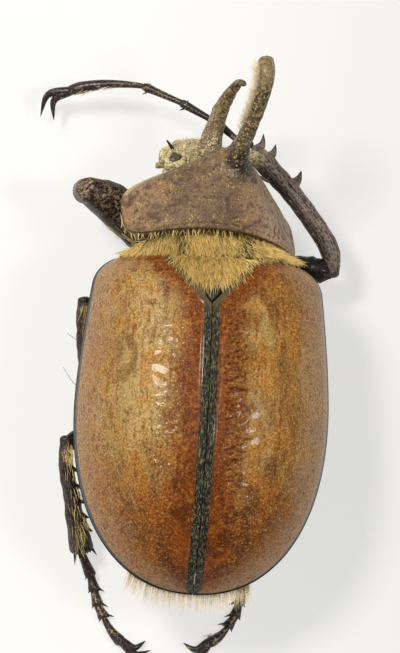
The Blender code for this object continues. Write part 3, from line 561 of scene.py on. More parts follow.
def stand(name, mesh, material, nodes=(), crease=60.0):
    """Puts a finished mesh in the scene as a piece of the root body, inside the solids' box."""
    places = np.empty(len(mesh.vertices) * 3, np.float32)
    mesh.vertices.foreach_get("co", places)
    mesh.vertices.foreach_set("co", np.clip(places.reshape(-1, 3), *CAD_BOX).reshape(-1))
    mesh.shade_smooth()
    mesh.set_sharp_from_angle(angle=math.radians(crease))
    mesh.materials.clear()
    mesh.materials.append(material)
    mesh.polygons.foreach_set("material_index", [0] * len(mesh.polygons))
    piece = bpy.data.objects.new(name, mesh)
    bpy.context.scene.collection.objects.link(piece)
    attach(piece, "root")
    if nodes:
        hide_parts(*nodes)
    SLOTS.get(material.name, "dark")
    return piece


def skinned(name, grid, material, node, crease=60.0, caps="poles", **values):
    """A piece of a single form skinned over rings."""
    shape = Shape()
    shape.rings(grid, caps, **values)
    shape.piece(name, material, (node,), crease)


END_ROUND = ((0.52, 0.28), (0.46, 0.55), (0.34, 0.78), (0.18, 0.93))


def rounded_ends(path, radii, rounds):
    """Adds small steps at each end that is to be round."""
    path, radii = list(path), list(radii)
    for end, is_round in enumerate(rounds):
        if not is_round:
            continue
        place, radius = path[-end], radii[-end]
        outward = unit(path[-1] - path[-2]) if end else unit(path[0] - path[1])
        for reach, share in END_ROUND[::-1]:
            where = len(path) if end else 0
            path.insert(where, place + outward * radius * reach)
            radii.insert(where, radius * share)
    return np.array(path), np.array(radii)


def tube(path, radii, sides, lean=UP, high=1.0, rounds=(True, True), ribs=0, rib_depth=0.0):
    """Rings along a path; lean is the way their tops face, and ribs run along the form."""
    path, radii = rounded_ends(np.asarray(path, float), radii, rounds)
    ways = unit(np.gradient(path, axis=0))
    across = unit(np.cross(ways, np.asarray(lean, float)))
    upward = np.cross(across, ways)
    angles = turns(sides)
    swell = 1 + rib_depth * np.cos(ribs * angles)
    c, s = np.cos(angles) * swell, np.sin(angles) * swell * high
    around = across[:, None] * c[None, :, None] + upward[:, None] * s[None, :, None]
    return path[:, None] + around * radii[:, None, None]


def pushed(grid, height):
    """Closed rows of points moved out along their normals."""
    return grid + grid_normals(grid, True) * height[..., None]


def roughened(grid, height, size, seed):
    """Closed rows of points with uneven bumps along their normals."""
    return pushed(grid, uneven(grid, size, seed) * height)


def raised(grid, lift, wrap):
    """Rows of points lifted along those normals that face up."""
    normal = grid_normals(grid, wrap)
    normal *= np.where(normal[..., 2:] < 0, -1.0, 1.0)
    return grid + normal * lift[..., None]


def on_floor(grid):
    lifted = np.array(grid, float)
    lifted[..., 2] = np.maximum(lifted[..., 2], 0.0)
    return lifted


def ball(centre, radii, rows, columns, end):
    """Rings of a round form from its top down, that stop short of its poles by an angle."""
    tilt = np.linspace(end, math.pi - end, rows)[:, None]
    turn = turns(columns)
    level = np.sin(tilt)
    around = np.stack((level * np.cos(turn), level * np.sin(turn), np.cos(tilt) + 0 * turn), axis=-1)
    return np.asarray(centre) + around * np.asarray(radii)


# Materials


class Paint:
    """A material under construction, read in millimetres of the object's own space."""

    def __init__(self, name, specular=0.5, coat=0.0, coat_roughness=0.03):
        self.material = bpy.data.materials.new(name)
        self.material.use_nodes = True
        self.tree = self.material.node_tree
        self.shader = self.tree.nodes["Principled BSDF"]
        finish = {"Specular IOR Level": specular, "Coat Weight": coat, "Coat Roughness": coat_roughness}
        for socket, value in finish.items():
            self.shader.inputs[socket].default_value = value
        place = self.tree.nodes.new("ShaderNodeTexCoord")
        scale = {"Vector": place.outputs["Object"], "Scale": (1 / MM,) * 3, "Location": tuple(-SHIFT)}
        self.place = self.node("ShaderNodeMapping", scale).outputs["Vector"]
        self.base = None

    def link(self, source, target):
        if isinstance(source, bpy.types.NodeSocket):
            self.tree.links.new(source, target)
        elif isinstance(source, (tuple, list)):
            target.default_value = (*source, 1.0) if len(target.default_value) == 4 else source
        else:
            target.default_value = source

    def node(self, kind, sockets, **settings):
        """A node with its settings, and its sockets linked or set."""
        node = self.tree.nodes.new(kind)
        for name, value in settings.items():
            setattr(node, name, value)
        for name, value in sockets.items():
            self.link(value, node.inputs[name])
        return node

    def stretched(self, scale):
        if scale is None:
            return self.place
        return self.node("ShaderNodeMapping", {"Vector": self.place, "Scale": scale}).outputs["Vector"]

    def noise(self, scale, detail=3.0, stretch=None, rough=0.55, warp=0.0):
        sockets = {"Scale": scale, "Detail": detail, "Roughness": rough, "Distortion": warp}
        sockets["Vector"] = self.stretched(stretch)
        return self.node("ShaderNodeTexNoise", sockets).outputs["Fac"]

    def pits(self, scale, wide=0.3):
        """Height over scattered pits, 0 in the middle of each and 1 outside."""
        cells = self.node("ShaderNodeTexVoronoi", {"Vector": self.place, "Scale": scale})
        return self.fade(cells.outputs["Distance"], 0.0, wide)

    def value(self, name):
        return self.node("ShaderNodeAttribute", {}, attribute_name=name).outputs["Fac"]

    def axis(self, letter):
        return self.node("ShaderNodeSeparateXYZ", {"Vector": self.place}).outputs[letter]

    def add(self, a, b):
        return self.node("ShaderNodeMath", {0: a, 1: b}, operation="ADD").outputs["Value"]

    def times(self, a, b):
        return self.node("ShaderNodeMath", {0: a, 1: b}, operation="MULTIPLY").outputs["Value"]

    def fade(self, value, low, high, start=0.0, end=1.0):
        """Turns a value from low to high into start to end, smoothly."""
        sockets = {"Value": value, "From Min": low, "From Max": high, "To Min": start, "To Max": end}
        return self.node("ShaderNodeMapRange", sockets, interpolation_type="SMOOTHSTEP").outputs["Result"]

    def mix(self, share, a, b, mode="MIX"):
        node = self.tree.nodes.new("ShaderNodeMix")
        node.data_type = "RGBA"
        node.blend_type = mode
        for socket, source in (("Factor", share), ("A", a), ("B", b)):
            self.link(source, node.inputs[socket])
        return node.outputs["Result"]

    def ramp(self, value, low, high, a, b):
        """Goes from one colour to another where a value goes from low to high."""
        return self.mix(self.fade(value, low, high), a, b)

    def lay(self, share, colour, mode="MIX"):
        """Lays a colour over the base, as thick as the share."""
        self.base = self.mix(share, self.base, colour, mode)

    def lay_where(self, value, low, high, share, colour):
        """Lays a colour over the base where a value goes from low to high."""
        self.lay(self.fade(value, low, high, 0.0, share), colour)

    def stops(self, value, *stops):
        """A colour that changes along stops of a place and a colour."""
        node = self.tree.nodes.new("ShaderNodeValToRGB")
        ramp = node.color_ramp
        while len(ramp.elements) < len(stops):
            ramp.elements.new(0.5)
        for element, (at, colour) in zip(ramp.elements, stops):
            element.position = at
            element.color = (*colour, 1.0)
        self.link(value, node.inputs["Fac"])
        return node.outputs["Color"]

    def dulled(self, grain, low, high):
        """Roughness that follows the grain."""
        return self.fade(grain, 0.3, 0.7, low, high)

    def bumps(self, *layers):
        """Stacks bumps, each a height from 0 to 1 and its depth in millimetres."""
        for height, depth in layers:
            below = self.shader.inputs["Normal"].links
            sockets = {"Strength": 1.0, "Distance": depth * MM, "Height": height}
            if below:
                sockets["Normal"] = below[0].from_socket
            self.link(self.node("ShaderNodeBump", sockets).outputs["Normal"], self.shader.inputs["Normal"])

    def done(self, roughness):
        self.link(self.base, self.shader.inputs["Base Color"])
        self.link(roughness, self.shader.inputs["Roughness"])
        return self.material


def tone(name):
    return tuple(getattr(bpy.context.scene.beetle_tints, name))


def shade(colour, factor):
    """A colour made lighter or darker, by one factor or by one for each channel."""
    return tuple(min(1.0, channel) for channel in np.array(colour) * factor)


def kept(name, build):
    """A material that several pieces share."""
    return bpy.data.materials.get(name) or build()


def case_paint():
    tan, rust, seam = tone("case"), tone("case_rust"), tone("seam")
    pale, ochre = tone("case_pale"), tone("case_ochre")
    paint = Paint("wing_case_shell", 0.13, 0.17, 0.12)
    cloud = paint.noise(0.2, 3.0, stretch=(1.0, 0.6, 1.0), warp=0.8)
    patch = paint.noise(0.5, 4.0, stretch=(1.0, 0.7, 1.0), warp=0.5)
    streak = paint.noise(1.3, 4.0, stretch=(1.6, 0.22, 1.0), warp=0.3)
    fleck = paint.noise(2.1, 3.0, stretch=(1.5, 0.5, 1.0), warp=0.6)
    grain = paint.noise(3.6, 6.0, rough=0.78)
    fine = paint.noise(5.2, 4.0, rough=0.8)
    wobble = paint.times(paint.add(patch, -0.5), 6.0)
    from_seam, from_edge = paint.value("seam"), paint.value("edge")

    # Tan and pale clouds with ochre, dark and reddish patches, and a painted highlight that lightens the
    # left half
    middle = (0.56, shade(pale, 0.85))
    paint.base = paint.stops(cloud, (0.32, shade(tan, 0.8)), (0.46, tan), middle, (0.7, shade(tan, 0.9)))
    # Painted highlight: pale tan over the left half of the cases, the side that faces the key light
    leftward = paint.add(paint.axis("X"), paint.times(paint.axis("Y"), -0.16))
    painted_highlight = paint.fade(paint.add(leftward, paint.times(cloud, 4.0)), 0.5, -3.5, 0.0, 0.9)
    paint.lay(paint.times(painted_highlight, paint.fade(from_edge, 1.5, 5.5, 0.3, 1.0)), pale)
    paint.lay_where(patch, 0.5, 0.62, 0.75, ochre)
    paint.lay_where(patch, 0.46, 0.34, 0.75, shade(tan, 0.5))
    paint.lay_where(streak, 0.53, 0.66, 0.6, shade(rust, 0.9))

    # Rust beside the seam and at the tail, and a duller, paler rim: the margin's own brown with painted
    # sheen
    near = paint.fade(paint.add(from_seam, wobble), 1.7, 4.6, 0.95, 0.0)
    paint.lay(near, paint.ramp(grain, 0.38, 0.62, shade(rust, 0.4), shade(rust, 1.4)))
    reds = paint.ramp(patch, 0.4, 0.6, shade(rust, 0.5), shade(rust, 1.25))
    paint.lay_where(paint.add(paint.axis("Y"), wobble), -2.0, -12.0, 0.85, reds)
    # The rim's paler tones are partly painted sheen along the margins
    rim = paint.mix(grain, (0.2, 0.09, 0.035), (0.56, 0.35, 0.19))
    paint.lay_where(paint.add(from_edge, wobble), 3.6, 0.4, 0.85, rim)

    # Fine mottling, with fine bright specks that are partly ochre and partly painted glints
    paint.lay_where(grain, 0.53, 0.68, 0.55, ochre)
    paint.lay_where(fleck, 0.56, 0.7, 0.6, ochre)
    paint.lay_where(fleck, 0.44, 0.32, 0.55, shade(rust, 0.6))
    paint.lay_where(grain, 0.47, 0.32, 0.65, shade(rust, 0.45))
    paint.lay(1.0, paint.stops(fine, (0.4, (0.57, 0.48, 0.38)), (0.56, (1.06, 1.06, 1.02))), "MULTIPLY")
    # Painted glints: pale specks away from the seam, mixed with ochre ones
    ochre_and_glint_specks = paint.times(paint.fade(fine, 0.54, 0.64, 0.0, 0.65), paint.fade(from_seam, 0.8, 4.5, 0.2, 1.0))
    paint.lay(ochre_and_glint_specks, paint.mix(patch, ochre, shade(pale, 1.3)))

    # The dark band along the seam and the black line at the margin
    band = paint.fade(paint.add(from_seam, paint.times(paint.add(grain, -0.5), 0.3)), 0.62, 0.76, 1.0, 0.0)
    line = paint.noise(4.5, 4.0, stretch=(2.2, 0.4, 1.0), rough=0.72)
    dark = paint.mix(paint.fade(line, 0.5, 0.64, 0.0, 0.8), shade(seam, 0.5), (0.2, 0.185, 0.1))
    dark = paint.mix(paint.fade(grain, 0.55, 0.66, 0.0, 0.6), dark, (0.27, 0.215, 0.1))
    by_plate = paint.fade(paint.axis("Y"), PLATE_TIP_Y - 1.2, PLATE_TIP_Y + 0.4, 0.0, 0.75)
    dark = paint.mix(by_plate, dark, paint.mix(grain, (0.05, 0.035, 0.015), (0.17, 0.12, 0.05)))
    paint.lay(band, dark)
    paint.lay(paint.fade(from_edge, 0.1, 0.22, 1.0, 0.0), shade(seam, 0.4))
    paint.bumps((grain, 0.035), (paint.noise(9.0, 2.0), 0.012), (streak, 0.02))
    return paint.done(paint.add(paint.fade(grain, 0.3, 0.75, 0.3, 0.46), paint.times(band, 0.15)))


def plain_shell(name, tint, dusty, roughness, grain_size, pit_depth=0.03, coat=0.1, specular=0.3):
    """Dark shell with pits, patches of a paler bloom and dust caught in them."""
    paint = Paint(name, specular, coat, 0.15)
    patch = paint.noise(0.45, 3.0, warp=0.5)
    grain = paint.noise(grain_size, 5.0, rough=0.7)
    paint.base = paint.ramp(patch, 0.35, 0.7, shade(tint, 0.7), shade(tint, 1.3))
    paint.lay_where(grain, 0.45, 0.25, 0.6, shade(tint, 0.4))
    paint.lay_where(paint.add(grain, paint.times(patch, 0.35)), 0.72, 0.9, dusty, tone("dust"))
    paint.bumps((paint.pits(grain_size * 0.8), pit_depth), (grain, pit_depth))
    return paint.done(paint.dulled(grain, *roughness))


def lay_painted_shade(paint, grain):
    """Lays painted shade on the right of the horn's root: a black patch with pale granules of dust."""
    spread = paint.add(paint.value("root"), paint.times(paint.noise(1.1, 4.0), 2.4))
    granules = paint.ramp(grain, 0.56, 0.64, shade(tone("shield"), 0.05), tone("dust"))
    paint.lay(paint.fade(spread, 2.3, 3.4, 0.97, 0.0), granules)


def lay_shield_tone(paint, grain):
    """Lays the shield's mottled brown, which the horn's root shares."""
    tint = tone("shield")
    patch = paint.noise(1.1, 4.0, warp=0.4)
    speckle = paint.noise(2.2, 5.0, rough=0.7)
    across = paint.axis("X")
    cloud = paint.fade(paint.noise(0.35, 3.0, warp=0.7), 0.38, 0.6)
    paint.base = paint.mix(cloud, shade(tint, 0.6), shade(tint, 1.25))
    # Painted highlight: a pale greyish sheen laid over the shield's right half
    paint.lay_where(across, 2.5, 6.5, 0.75, shade(tint, (2.2, 2.6, 3.4)))
    paint.lay_where(patch, 0.5, 0.66, 0.6, shade(tint, (1.2, 1.0, 0.55)))
    paint.lay_where(patch, 0.47, 0.36, 0.65, shade(tint, (0.5, 0.36, 0.42)))
    paint.lay_where(speckle, 0.47, 0.36, 0.85, shade(tint, 0.22))
    paint.lay_where(grain, 0.48, 0.34, 0.85, shade(tint, 0.22))
    paint.lay_where(speckle, 0.55, 0.68, 0.5, shade(tint, 1.7))
    middle = paint.times(paint.fade(across, -5.0, -2.5, 0.0, 0.45), paint.fade(across, 3.2, 1.2))
    paint.lay(middle, shade(tint, 0.35))
    fewer = paint.fade(across, 2.0, 5.0, 0.0, -0.06)
    caught = paint.add(paint.add(grain, paint.times(patch, 0.35)), fewer)
    paint.lay_where(caught, 0.755, 0.83, 0.85, shade(tone("dust"), 1.1))


def shield_paint():
    paint = Paint("shield_shell", 0.25, 0.05, 0.3)
    grain = paint.noise(4.6, 5.0, rough=0.75)
    lay_shield_tone(paint, grain)
    lay_painted_shade(paint, grain)
    film = paint.add(paint.value("film"), paint.add(grain, -0.5))
    paint.lay_where(film, 0.25, 0.75, 0.7, shade(tone("head"), 0.8))
    paint.lay_where(paint.value("edge"), 0.3, 0.0, 0.85, shade(tone("shield"), 0.2))
    pits = paint.pits(3.0)
    paint.bumps((pits, 0.05), (grain, 0.07), (paint.noise(1.1, 4.0), 0.08))
    return paint.done(paint.dulled(grain, 0.36, 0.58))


def horn_paint():
    tint = tone("horn")
    paint = Paint("horn_shell", 0.3, 0.1, 0.2)
    height = paint.value("height")
    grain = paint.noise(3.8, 5.0, rough=0.75)
    lay_shield_tone(paint, grain)
    low = paint.ramp(grain, 0.42, 0.58, shade(tint, 0.06), shade(tint, 0.7))
    high = paint.ramp(grain, 0.4, 0.65, shade(tint, 0.45), shade(tint, 1.35))
    shell = paint.ramp(height, 0.6, 0.85, low, high)
    specks = paint.mix(paint.fade(grain, 0.54, 0.63, 0.0, 0.95), shell, tone("dust"))
    paint.lay_where(height, 0.04, 0.16, 1.0, paint.ramp(height, 0.92, 0.6, high, specks))
    powder = paint.fade(paint.noise(5.6, 4.0, rough=0.8), 0.44, 0.6)
    thick = paint.ramp(height, 0.5, 0.25, shade(tone("head"), 0.6), shade(tone("head"), 1.0))
    film = paint.mix(powder, shade(tint, 0.25), thick)
    bare = paint.fade(paint.noise(0.9, 3.0), 0.45, 0.6, 0.0, 0.7)
    paint.lay(paint.value("dusty"), paint.mix(bare, film, shade(tint, (0.6, 0.5, 0.5))))
    lay_painted_shade(paint, grain)
    paint.bumps((paint.pits(2.9, 0.32), 0.07), (grain, 0.06))
    return paint.done(paint.fade(height, 0.5, 0.95, 0.5, 0.28))


def leg_paint():
    return plain_shell("leg_shell", tone("leg"), 0.35, (0.24, 0.45), 2.6, coat=0.15, specular=0.25)


def thigh_paint():
    tint, dust = tone("thigh"), tone("dust")
    paint = Paint("thigh_shell", 0.16, 0.1, 0.2)
    patch = paint.noise(0.6, 3.0, warp=0.5)
    grain = paint.noise(3.2, 6.0, rough=0.78)
    rubbed = paint.fade(paint.value("rubbed"), 0.0, 1.0)
    pale_wear_and_sheen = paint.ramp(grain, 0.45, 0.6, shade(tint, 0.9), shade(dust, (0.72, 0.68, 0.9)))
    paint.base = paint.ramp(grain, 0.4, 0.64, shade(tint, 0.12), shade(tint, 0.8))
    paint.lay_where(patch, 0.54, 0.66, 0.3, pale_wear_and_sheen)
    # Paler where the piece says: real wear, and on the left fore femur's top and knee also painted sheen
    paint.lay(rubbed, pale_wear_and_sheen)
    caught = paint.times(paint.fade(grain, 0.62, 0.7, 0.0, 0.8), paint.fade(rubbed, 0.0, 0.4, 0.3, 1.0))
    paint.lay(caught, shade(dust, 0.8))
    paint.bumps((paint.pits(2.2, 0.35), 0.1), (grain, 0.06))
    return paint.done(paint.dulled(grain, 0.28, 0.5))


def foot_paint():
    return plain_shell("foot_shell", tone("foot"), 0.7, (0.25, 0.42), 3.4, pit_depth=0.05, coat=0.15)


def shin_paint():
    """Tibiae: brownish ridges over dark grooves, dusty where the piece says so."""
    leg, shin, dust = tone("leg"), tone("shin"), tone("dust")
    paint = Paint("shin_shell", 0.3, 0.1, 0.2)
    grain = paint.noise(3.4, 5.0, rough=0.72)
    ridged = paint.add(paint.times(paint.value("ridge"), 0.3), paint.times(paint.add(grain, -0.5), 5.0))
    tawny = paint.ramp(ridged, -0.55, 0.5, shade(shin, 0.2), shade(shin, 1.45))
    paint.base = paint.ramp(grain, 0.4, 0.6, leg, shade(leg, 2.2))
    paint.lay(paint.value("brown"), tawny)
    film = paint.ramp(grain, 0.36, 0.56, shade(shin, 0.35), shade(dust, (0.75, 0.85, 1.0)))
    paint.lay(paint.value("dusty"), film)
    paint.lay_where(paint.noise(2.6, 5.0, rough=0.7), 0.6, 0.7, 0.75, shade(dust, 0.9))
    paint.bumps((grain, 0.05), (paint.pits(2.4), 0.03))
    return paint.done(paint.dulled(grain, 0.28, 0.5))


def head_paint():
    tint, dust = tone("head"), tone("dust")
    paint = Paint("head_shell", 0.2)
    grain = paint.noise(4.2, 6.0, rough=0.78)
    patch = paint.fade(paint.noise(1.0, 4.0, warp=0.5), 0.42, 0.58)
    paint.base = paint.mix(patch, shade(dust, (0.7, 0.82, 0.95)), tint)
    paint.lay_where(grain, 0.5, 0.36, 0.85, shade(dust, 0.22))
    paint.lay_where(grain, 0.52, 0.62, 0.9, shade(tint, 1.4))
    paint.bumps((paint.pits(3.0), 0.06), (grain, 0.12))
    return paint.done(0.65)


def belly_paint():
    return plain_shell("belly_shell", shade(tone("leg"), 1.6), 0.5, (0.3, 0.5), 2.2, coat=0.15)


def plate_paint():
    return plain_shell("small_plate_shell", shade(tone("seam"), 1.5), 0.6, (0.35, 0.55), 2.6, pit_depth=0.04)


def collar_paint():
    return plain_shell("collar_shell", shade(tone("gold"), 0.09), 0.15, (0.5, 0.7), 2.4, 0.04, 0.0)


def eye_paint():
    paint = Paint("eye_lens")
    film = paint.fade(paint.noise(3.4, 5.0), 0.42, 0.6, 0.0, 0.5)
    paint.base = paint.mix(film, tone("eye"), shade(tone("dust"), 0.35))
    paint.bumps((paint.pits(9.0, 0.5), 0.012))
    return paint.done(paint.fade(film, 0.0, 0.5, 0.4, 0.65))


def hair_paint(name, root, tip):
    """Hair that pales to its tips, each strand a little different, with darker greenish patches of painted
    shade among the clumps.
    """
    paint = Paint(name, 0.4)
    tone_of_strand = paint.value("tone")
    light = blend(np.array(tip), np.array((1.0, 0.95, 0.8)), 0.4).tolist()
    paint.base = paint.ramp(paint.value("along"), 0.0, 0.8, root, tip)
    paint.lay_where(tone_of_strand, 0.3, 1.0, 0.6, light)
    paint.lay_where(tone_of_strand, 0.35, 0.0, 0.6, shade(root, 0.7))
    # Painted shade: darker greenish patches among the clumps
    paint.lay_where(paint.noise(0.9, 4.0, warp=0.6), 0.52, 0.66, 0.45, shade(root, (0.6, 0.6, 0.3)))
    return paint.done(0.45)


# Geometry Nodes trees


class Growth:
    """A Geometry Nodes tree under construction, with named inputs."""

    def __init__(self, name, sockets):
        self.tree = bpy.data.node_groups.new(name, "GeometryNodeTree")
        face = self.tree.interface
        face.new_socket("Geometry", in_out="INPUT", socket_type="NodeSocketGeometry")
        face.new_socket("Geometry", in_out="OUTPUT", socket_type="NodeSocketGeometry")
        for label, (kind, default) in sockets.items():
            socket = face.new_socket(label, in_out="INPUT", socket_type="NodeSocket" + kind)
            if default is not None:
                socket.default_value = default
        self.inputs = self.tree.nodes.new("NodeGroupInput").outputs

    def put(self, value, target):
        if isinstance(value, bpy.types.NodeSocket):
            self.tree.links.new(value, target)
        else:
            target.default_value = value

    def node(self, kind, settings=None, **sockets):
        """A node with its settings, and its sockets linked or set, by name or as i0 and i1 by place."""
        node = self.tree.nodes.new(kind)
        for name, value in (settings or {}).items():
            setattr(node, name, value)
        for name, value in sockets.items():
            live = [socket for socket in node.inputs if socket.enabled and socket.name == name]
            self.put(value, live[0] if live else node.inputs[int(name[1:])])
        return node

    def named(self, name, kind="FLOAT"):
        node = self.node("GeometryNodeInputNamedAttribute", {"data_type": kind}, Name=name)
        return live_output(node, "Attribute")

    def maths(self, operation, a, b):
        return self.node("ShaderNodeMath", {"operation": operation}, i0=a, i1=b).outputs[0]

    def vector(self, operation, a, b):
        node = self.node("ShaderNodeVectorMath", {"operation": operation}, i0=a)
        self.put(b, node.inputs["Scale"] if operation == "SCALE" else node.inputs[1])
        return node.outputs[0]

    def random(self, low, high, seed, kind="FLOAT"):
        node = self.node("FunctionNodeRandomValue", {"data_type": kind}, Min=low, Max=high, Seed=seed)
        return live_output(node, "Value")

    def finish(self, geometry):
        realized = self.node("GeometryNodeRealizeInstances", Geometry=geometry).outputs[0]
        material = self.inputs["Material"]
        painted = self.node("GeometryNodeSetMaterial", Geometry=realized, Material=material)
        end = self.tree.nodes.new("NodeGroupOutput")
        self.tree.links.new(painted.outputs[0], end.inputs[0])
        return self.tree


def live_output(node, name):
    return [socket for socket in node.outputs if socket.enabled and socket.name == name][0]


def aimed(tree, points, form, way, top, scale):
    """Sets a form on points, its Z along a way and its X towards a top."""
    kind = "FunctionNodeAlignRotationToVector"
    first = tree.node(kind, {"axis": "Z"}, Vector=way).outputs[0]
    turn = tree.node(kind, {"axis": "X", "pivot_axis": "Z"}, Rotation=first, Vector=top).outputs[0]
    held = tree.node("GeometryNodeObjectInfo", Object=form).outputs["Geometry"]
    sockets = {"Points": points, "Instance": held, "Rotation": turn, "Scale": scale}
    return tree.node("GeometryNodeInstanceOnPoints", **sockets).outputs[0]


def coat_tree():
    """Hair strewn over a patch of skin, along the lie that the patch carries."""
    sockets = {"Hair": ("Object", None)}
    for label, default in (("Density", 1.0), ("Length", 1.0), ("Spread", 0.3), ("Lift", 0.5), ("Mess", 0.3)):
        sockets[label] = ("Float", default)
    tree = Growth("coat", sockets | {"Seed": ("Int", 1), "Material": ("Material", None)})
    given = tree.inputs
    scatter = {"Mesh": given["Geometry"], "Seed": given["Seed"]}
    scatter["Density"] = tree.maths("MULTIPLY", given["Density"], tree.named("cover"))
    strewn = tree.node("GeometryNodeDistributePointsOnFaces", **scatter)
    tones = tree.random(0.0, 1.0, tree.maths("ADD", given["Seed"], 3.0))
    store = {"data_type": "FLOAT", "domain": "POINT"}
    kind = "GeometryNodeStoreNamedAttribute"
    toned = tree.node(kind, store, Geometry=strewn.outputs["Points"], Name="tone", Value=tones)
    store["data_type"] = "FLOAT_VECTOR"
    faced = tree.node(kind, store, Geometry=toned.outputs[0], Name="top", Value=strewn.outputs["Normal"])
    top = tree.named("top", "FLOAT_VECTOR")
    risen = tree.vector("SCALE", top, given["Lift"])
    lie = tree.vector("ADD", tree.named("lie", "FLOAT_VECTOR"), risen)
    other = tree.maths("ADD", given["Seed"], 7.0)
    stray = tree.random((-1.0, -1.0, -1.0), (1.0, 1.0, 1.0), other, "FLOAT_VECTOR")
    way = tree.vector("ADD", lie, tree.vector("SCALE", stray, given["Mess"]))
    shorter = tree.maths("SUBTRACT", 1.0, given["Spread"])
    longer = tree.maths("ADD", 1.0, given["Spread"])
    vary = tree.random(shorter, longer, tree.maths("ADD", given["Seed"], 11.0))
    length = tree.maths("MULTIPLY", tree.maths("MULTIPLY", given["Length"], vary), tree.named("grow"))
    size = tree.node("ShaderNodeCombineXYZ", X=length, Y=length, Z=length).outputs[0]
    return tree.finish(aimed(tree, faced.outputs[0], given["Hair"], way, top, size))


def row_tree():
    """A form set on each given point, by the way, top and size that the point carries."""
    tree = Growth("row", {"Form": ("Object", None), "Material": ("Material", None)})
    carried = [tree.named(label, "FLOAT_VECTOR") for label in ("way", "top", "size")]
    return tree.finish(aimed(tree, tree.inputs["Geometry"], tree.inputs["Form"], *carried))


def bead_tree():
    """A round bead swept along a line of edges, as thick as each point says."""
    tree = Growth("bead", {"Sides": ("Int", 10), "Material": ("Material", None)})
    radius = tree.named("radius")
    line = tree.node("GeometryNodeMeshToCurve", Mesh=tree.inputs["Geometry"]).outputs[0]
    thick = tree.node("GeometryNodeSetCurveRadius", Curve=line, Radius=radius).outputs[0]
    circle = tree.node("GeometryNodeCurvePrimitiveCircle", Resolution=tree.inputs["Sides"], Radius=1.0)
    sockets = {"Curve": thick, "Profile Curve": circle.outputs[0], "Scale": radius, "Fill Caps": True}
    return tree.finish(tree.node("GeometryNodeCurveToMesh", **sockets).outputs[0])


def grown(name, base, tree, settings):
    """Runs a tree on a base mesh and keeps the result as a plain mesh piece."""
    source = bpy.data.objects.new(name + "_base", base)
    bpy.context.scene.collection.objects.link(source)
    modifier = source.modifiers.new("Growth", "NODES")
    modifier.node_group = tree
    for item in tree.interface.items_tree:
        if item.in_out == "INPUT" and item.name in settings:
            modifier[item.identifier] = settings[item.name]
    bpy.context.view_layer.update()
    evaluated = source.evaluated_get(bpy.context.evaluated_depsgraph_get())
    mesh = bpy.data.meshes.new_from_object(evaluated)
    mesh.name = name
    bpy.data.objects.remove(source, do_unlink=True)
    return stand(name, mesh, settings["Material"])


def spindle(name, levels, sides, bend=0.0, pointed=True):
    """A round form a unit long along Z, that bends away from X, for the trees to repeat."""
    points = []
    for level, radius in levels:
        for side in range(sides):
            angle = 2 * math.pi * side / sides
            points.append((radius * math.cos(angle) - bend * level**2, radius * math.sin(angle), level))
    faces = [list(range(sides))[::-1]] + sheet_faces(len(levels), sides, True)
    last = len(points) - sides
    if pointed:
        points.append((-bend, 0.0, 1.0))
        faces += [(last + side, last + (side + 1) % sides, last + sides) for side in range(sides)]
    else:
        faces.append(list(range(last, last + sides)))
    mesh = bpy.data.meshes.new(name)
    mesh.from_pydata(points, [], faces)
    face_outward(mesh)
    return bpy.data.objects.new(name, mesh)


def hair_form(thickness, bend):
    """One strand with three sides, and each point's place round it and along it."""
    levels = [(level, thickness * (1 - 0.75 * level)) for level in (0.0, 0.35, 0.7)]
    form = spindle("hair_form", levels, 3, bend)
    note(form.data, "around", [0, 1 / 3, 2 / 3] * len(levels) + [0.5])
    note(form.data, "along", [point.co.z for point in form.data.vertices])
    return form


def patch_mesh(name, grid, lie, cell, cover=1.0, grow=1.0):
    """A patch of skin: where hair grows, how long, which way it lies and its place on the unwrap."""
    rows, columns = grid.shape[:2]
    mesh = bpy.data.meshes.new(name)
    mesh.from_pydata(((grid.reshape(-1, 3) + SHIFT) * MM).tolist(), [], sheet_faces(rows, columns, False))
    note(mesh, "cover", np.broadcast_to(cover, (rows, columns)).reshape(-1))
    note(mesh, "grow", np.broadcast_to(grow, (rows, columns)).reshape(-1))
    note(mesh, "lie", unit(np.broadcast_to(lie, grid.shape)).reshape(-1, 3))
    left, low, width, height = cell
    atlas = np.zeros((rows, columns, 3))
    atlas[..., 0] = left + width * np.arange(columns) / (columns - 1)
    atlas[..., 1] = (low + height * np.arange(rows) / (rows - 1))[:, None]
    note(mesh, "atlas", atlas.reshape(-1, 3))
    return mesh


HAIR_PATCH = 0.003  # how much of the unwrap each strand takes

# Hairs per square millimetre and lengths that the panel doesn't list
FRINGE_DENSITY = 210.0
SHIN_DENSITY = 75.0
HEAD_HAIR = (75.0, 0.55)
RIM_HAIR = (26.0, 0.75)
LEG_HAIR = (1.6, 0.28)
FOOT_HAIR = (22.0, 0.85)
BELLY_HAIR = (7.0, 1.2)

# Each coat's lift, mess, spread of lengths, thickness, bend and seed
COATS = {
    "collar_hair": (0.45, 0.34, 0.4, 0.026, 0.25, 3),
    "horn_brush": (1.7, 0.5, 0.3, 0.014, 0.1, 5),
    "tail_fringe": (0.05, 0.16, 0.5, 0.02, 0.04, 6),
    "head_hair": (0.8, 0.9, 0.3, 0.014, 0.2, 8),
    "shield_fringe": (0.1, 0.5, 0.3, 0.035, 0.1, 9),
    "leg_hair": (0.7, 0.4, 0.3, 0.018, 0.2, 12),
    "shin_hair": (0.3, 0.25, 0.3, 0.028, 0.15, 13),
    "foot_hair": (0.45, 0.35, 0.3, 0.03, 0.15, 14),
    "belly_hair": (0.4, 0.3, 0.3, 0.045, 0.25, 15),
}


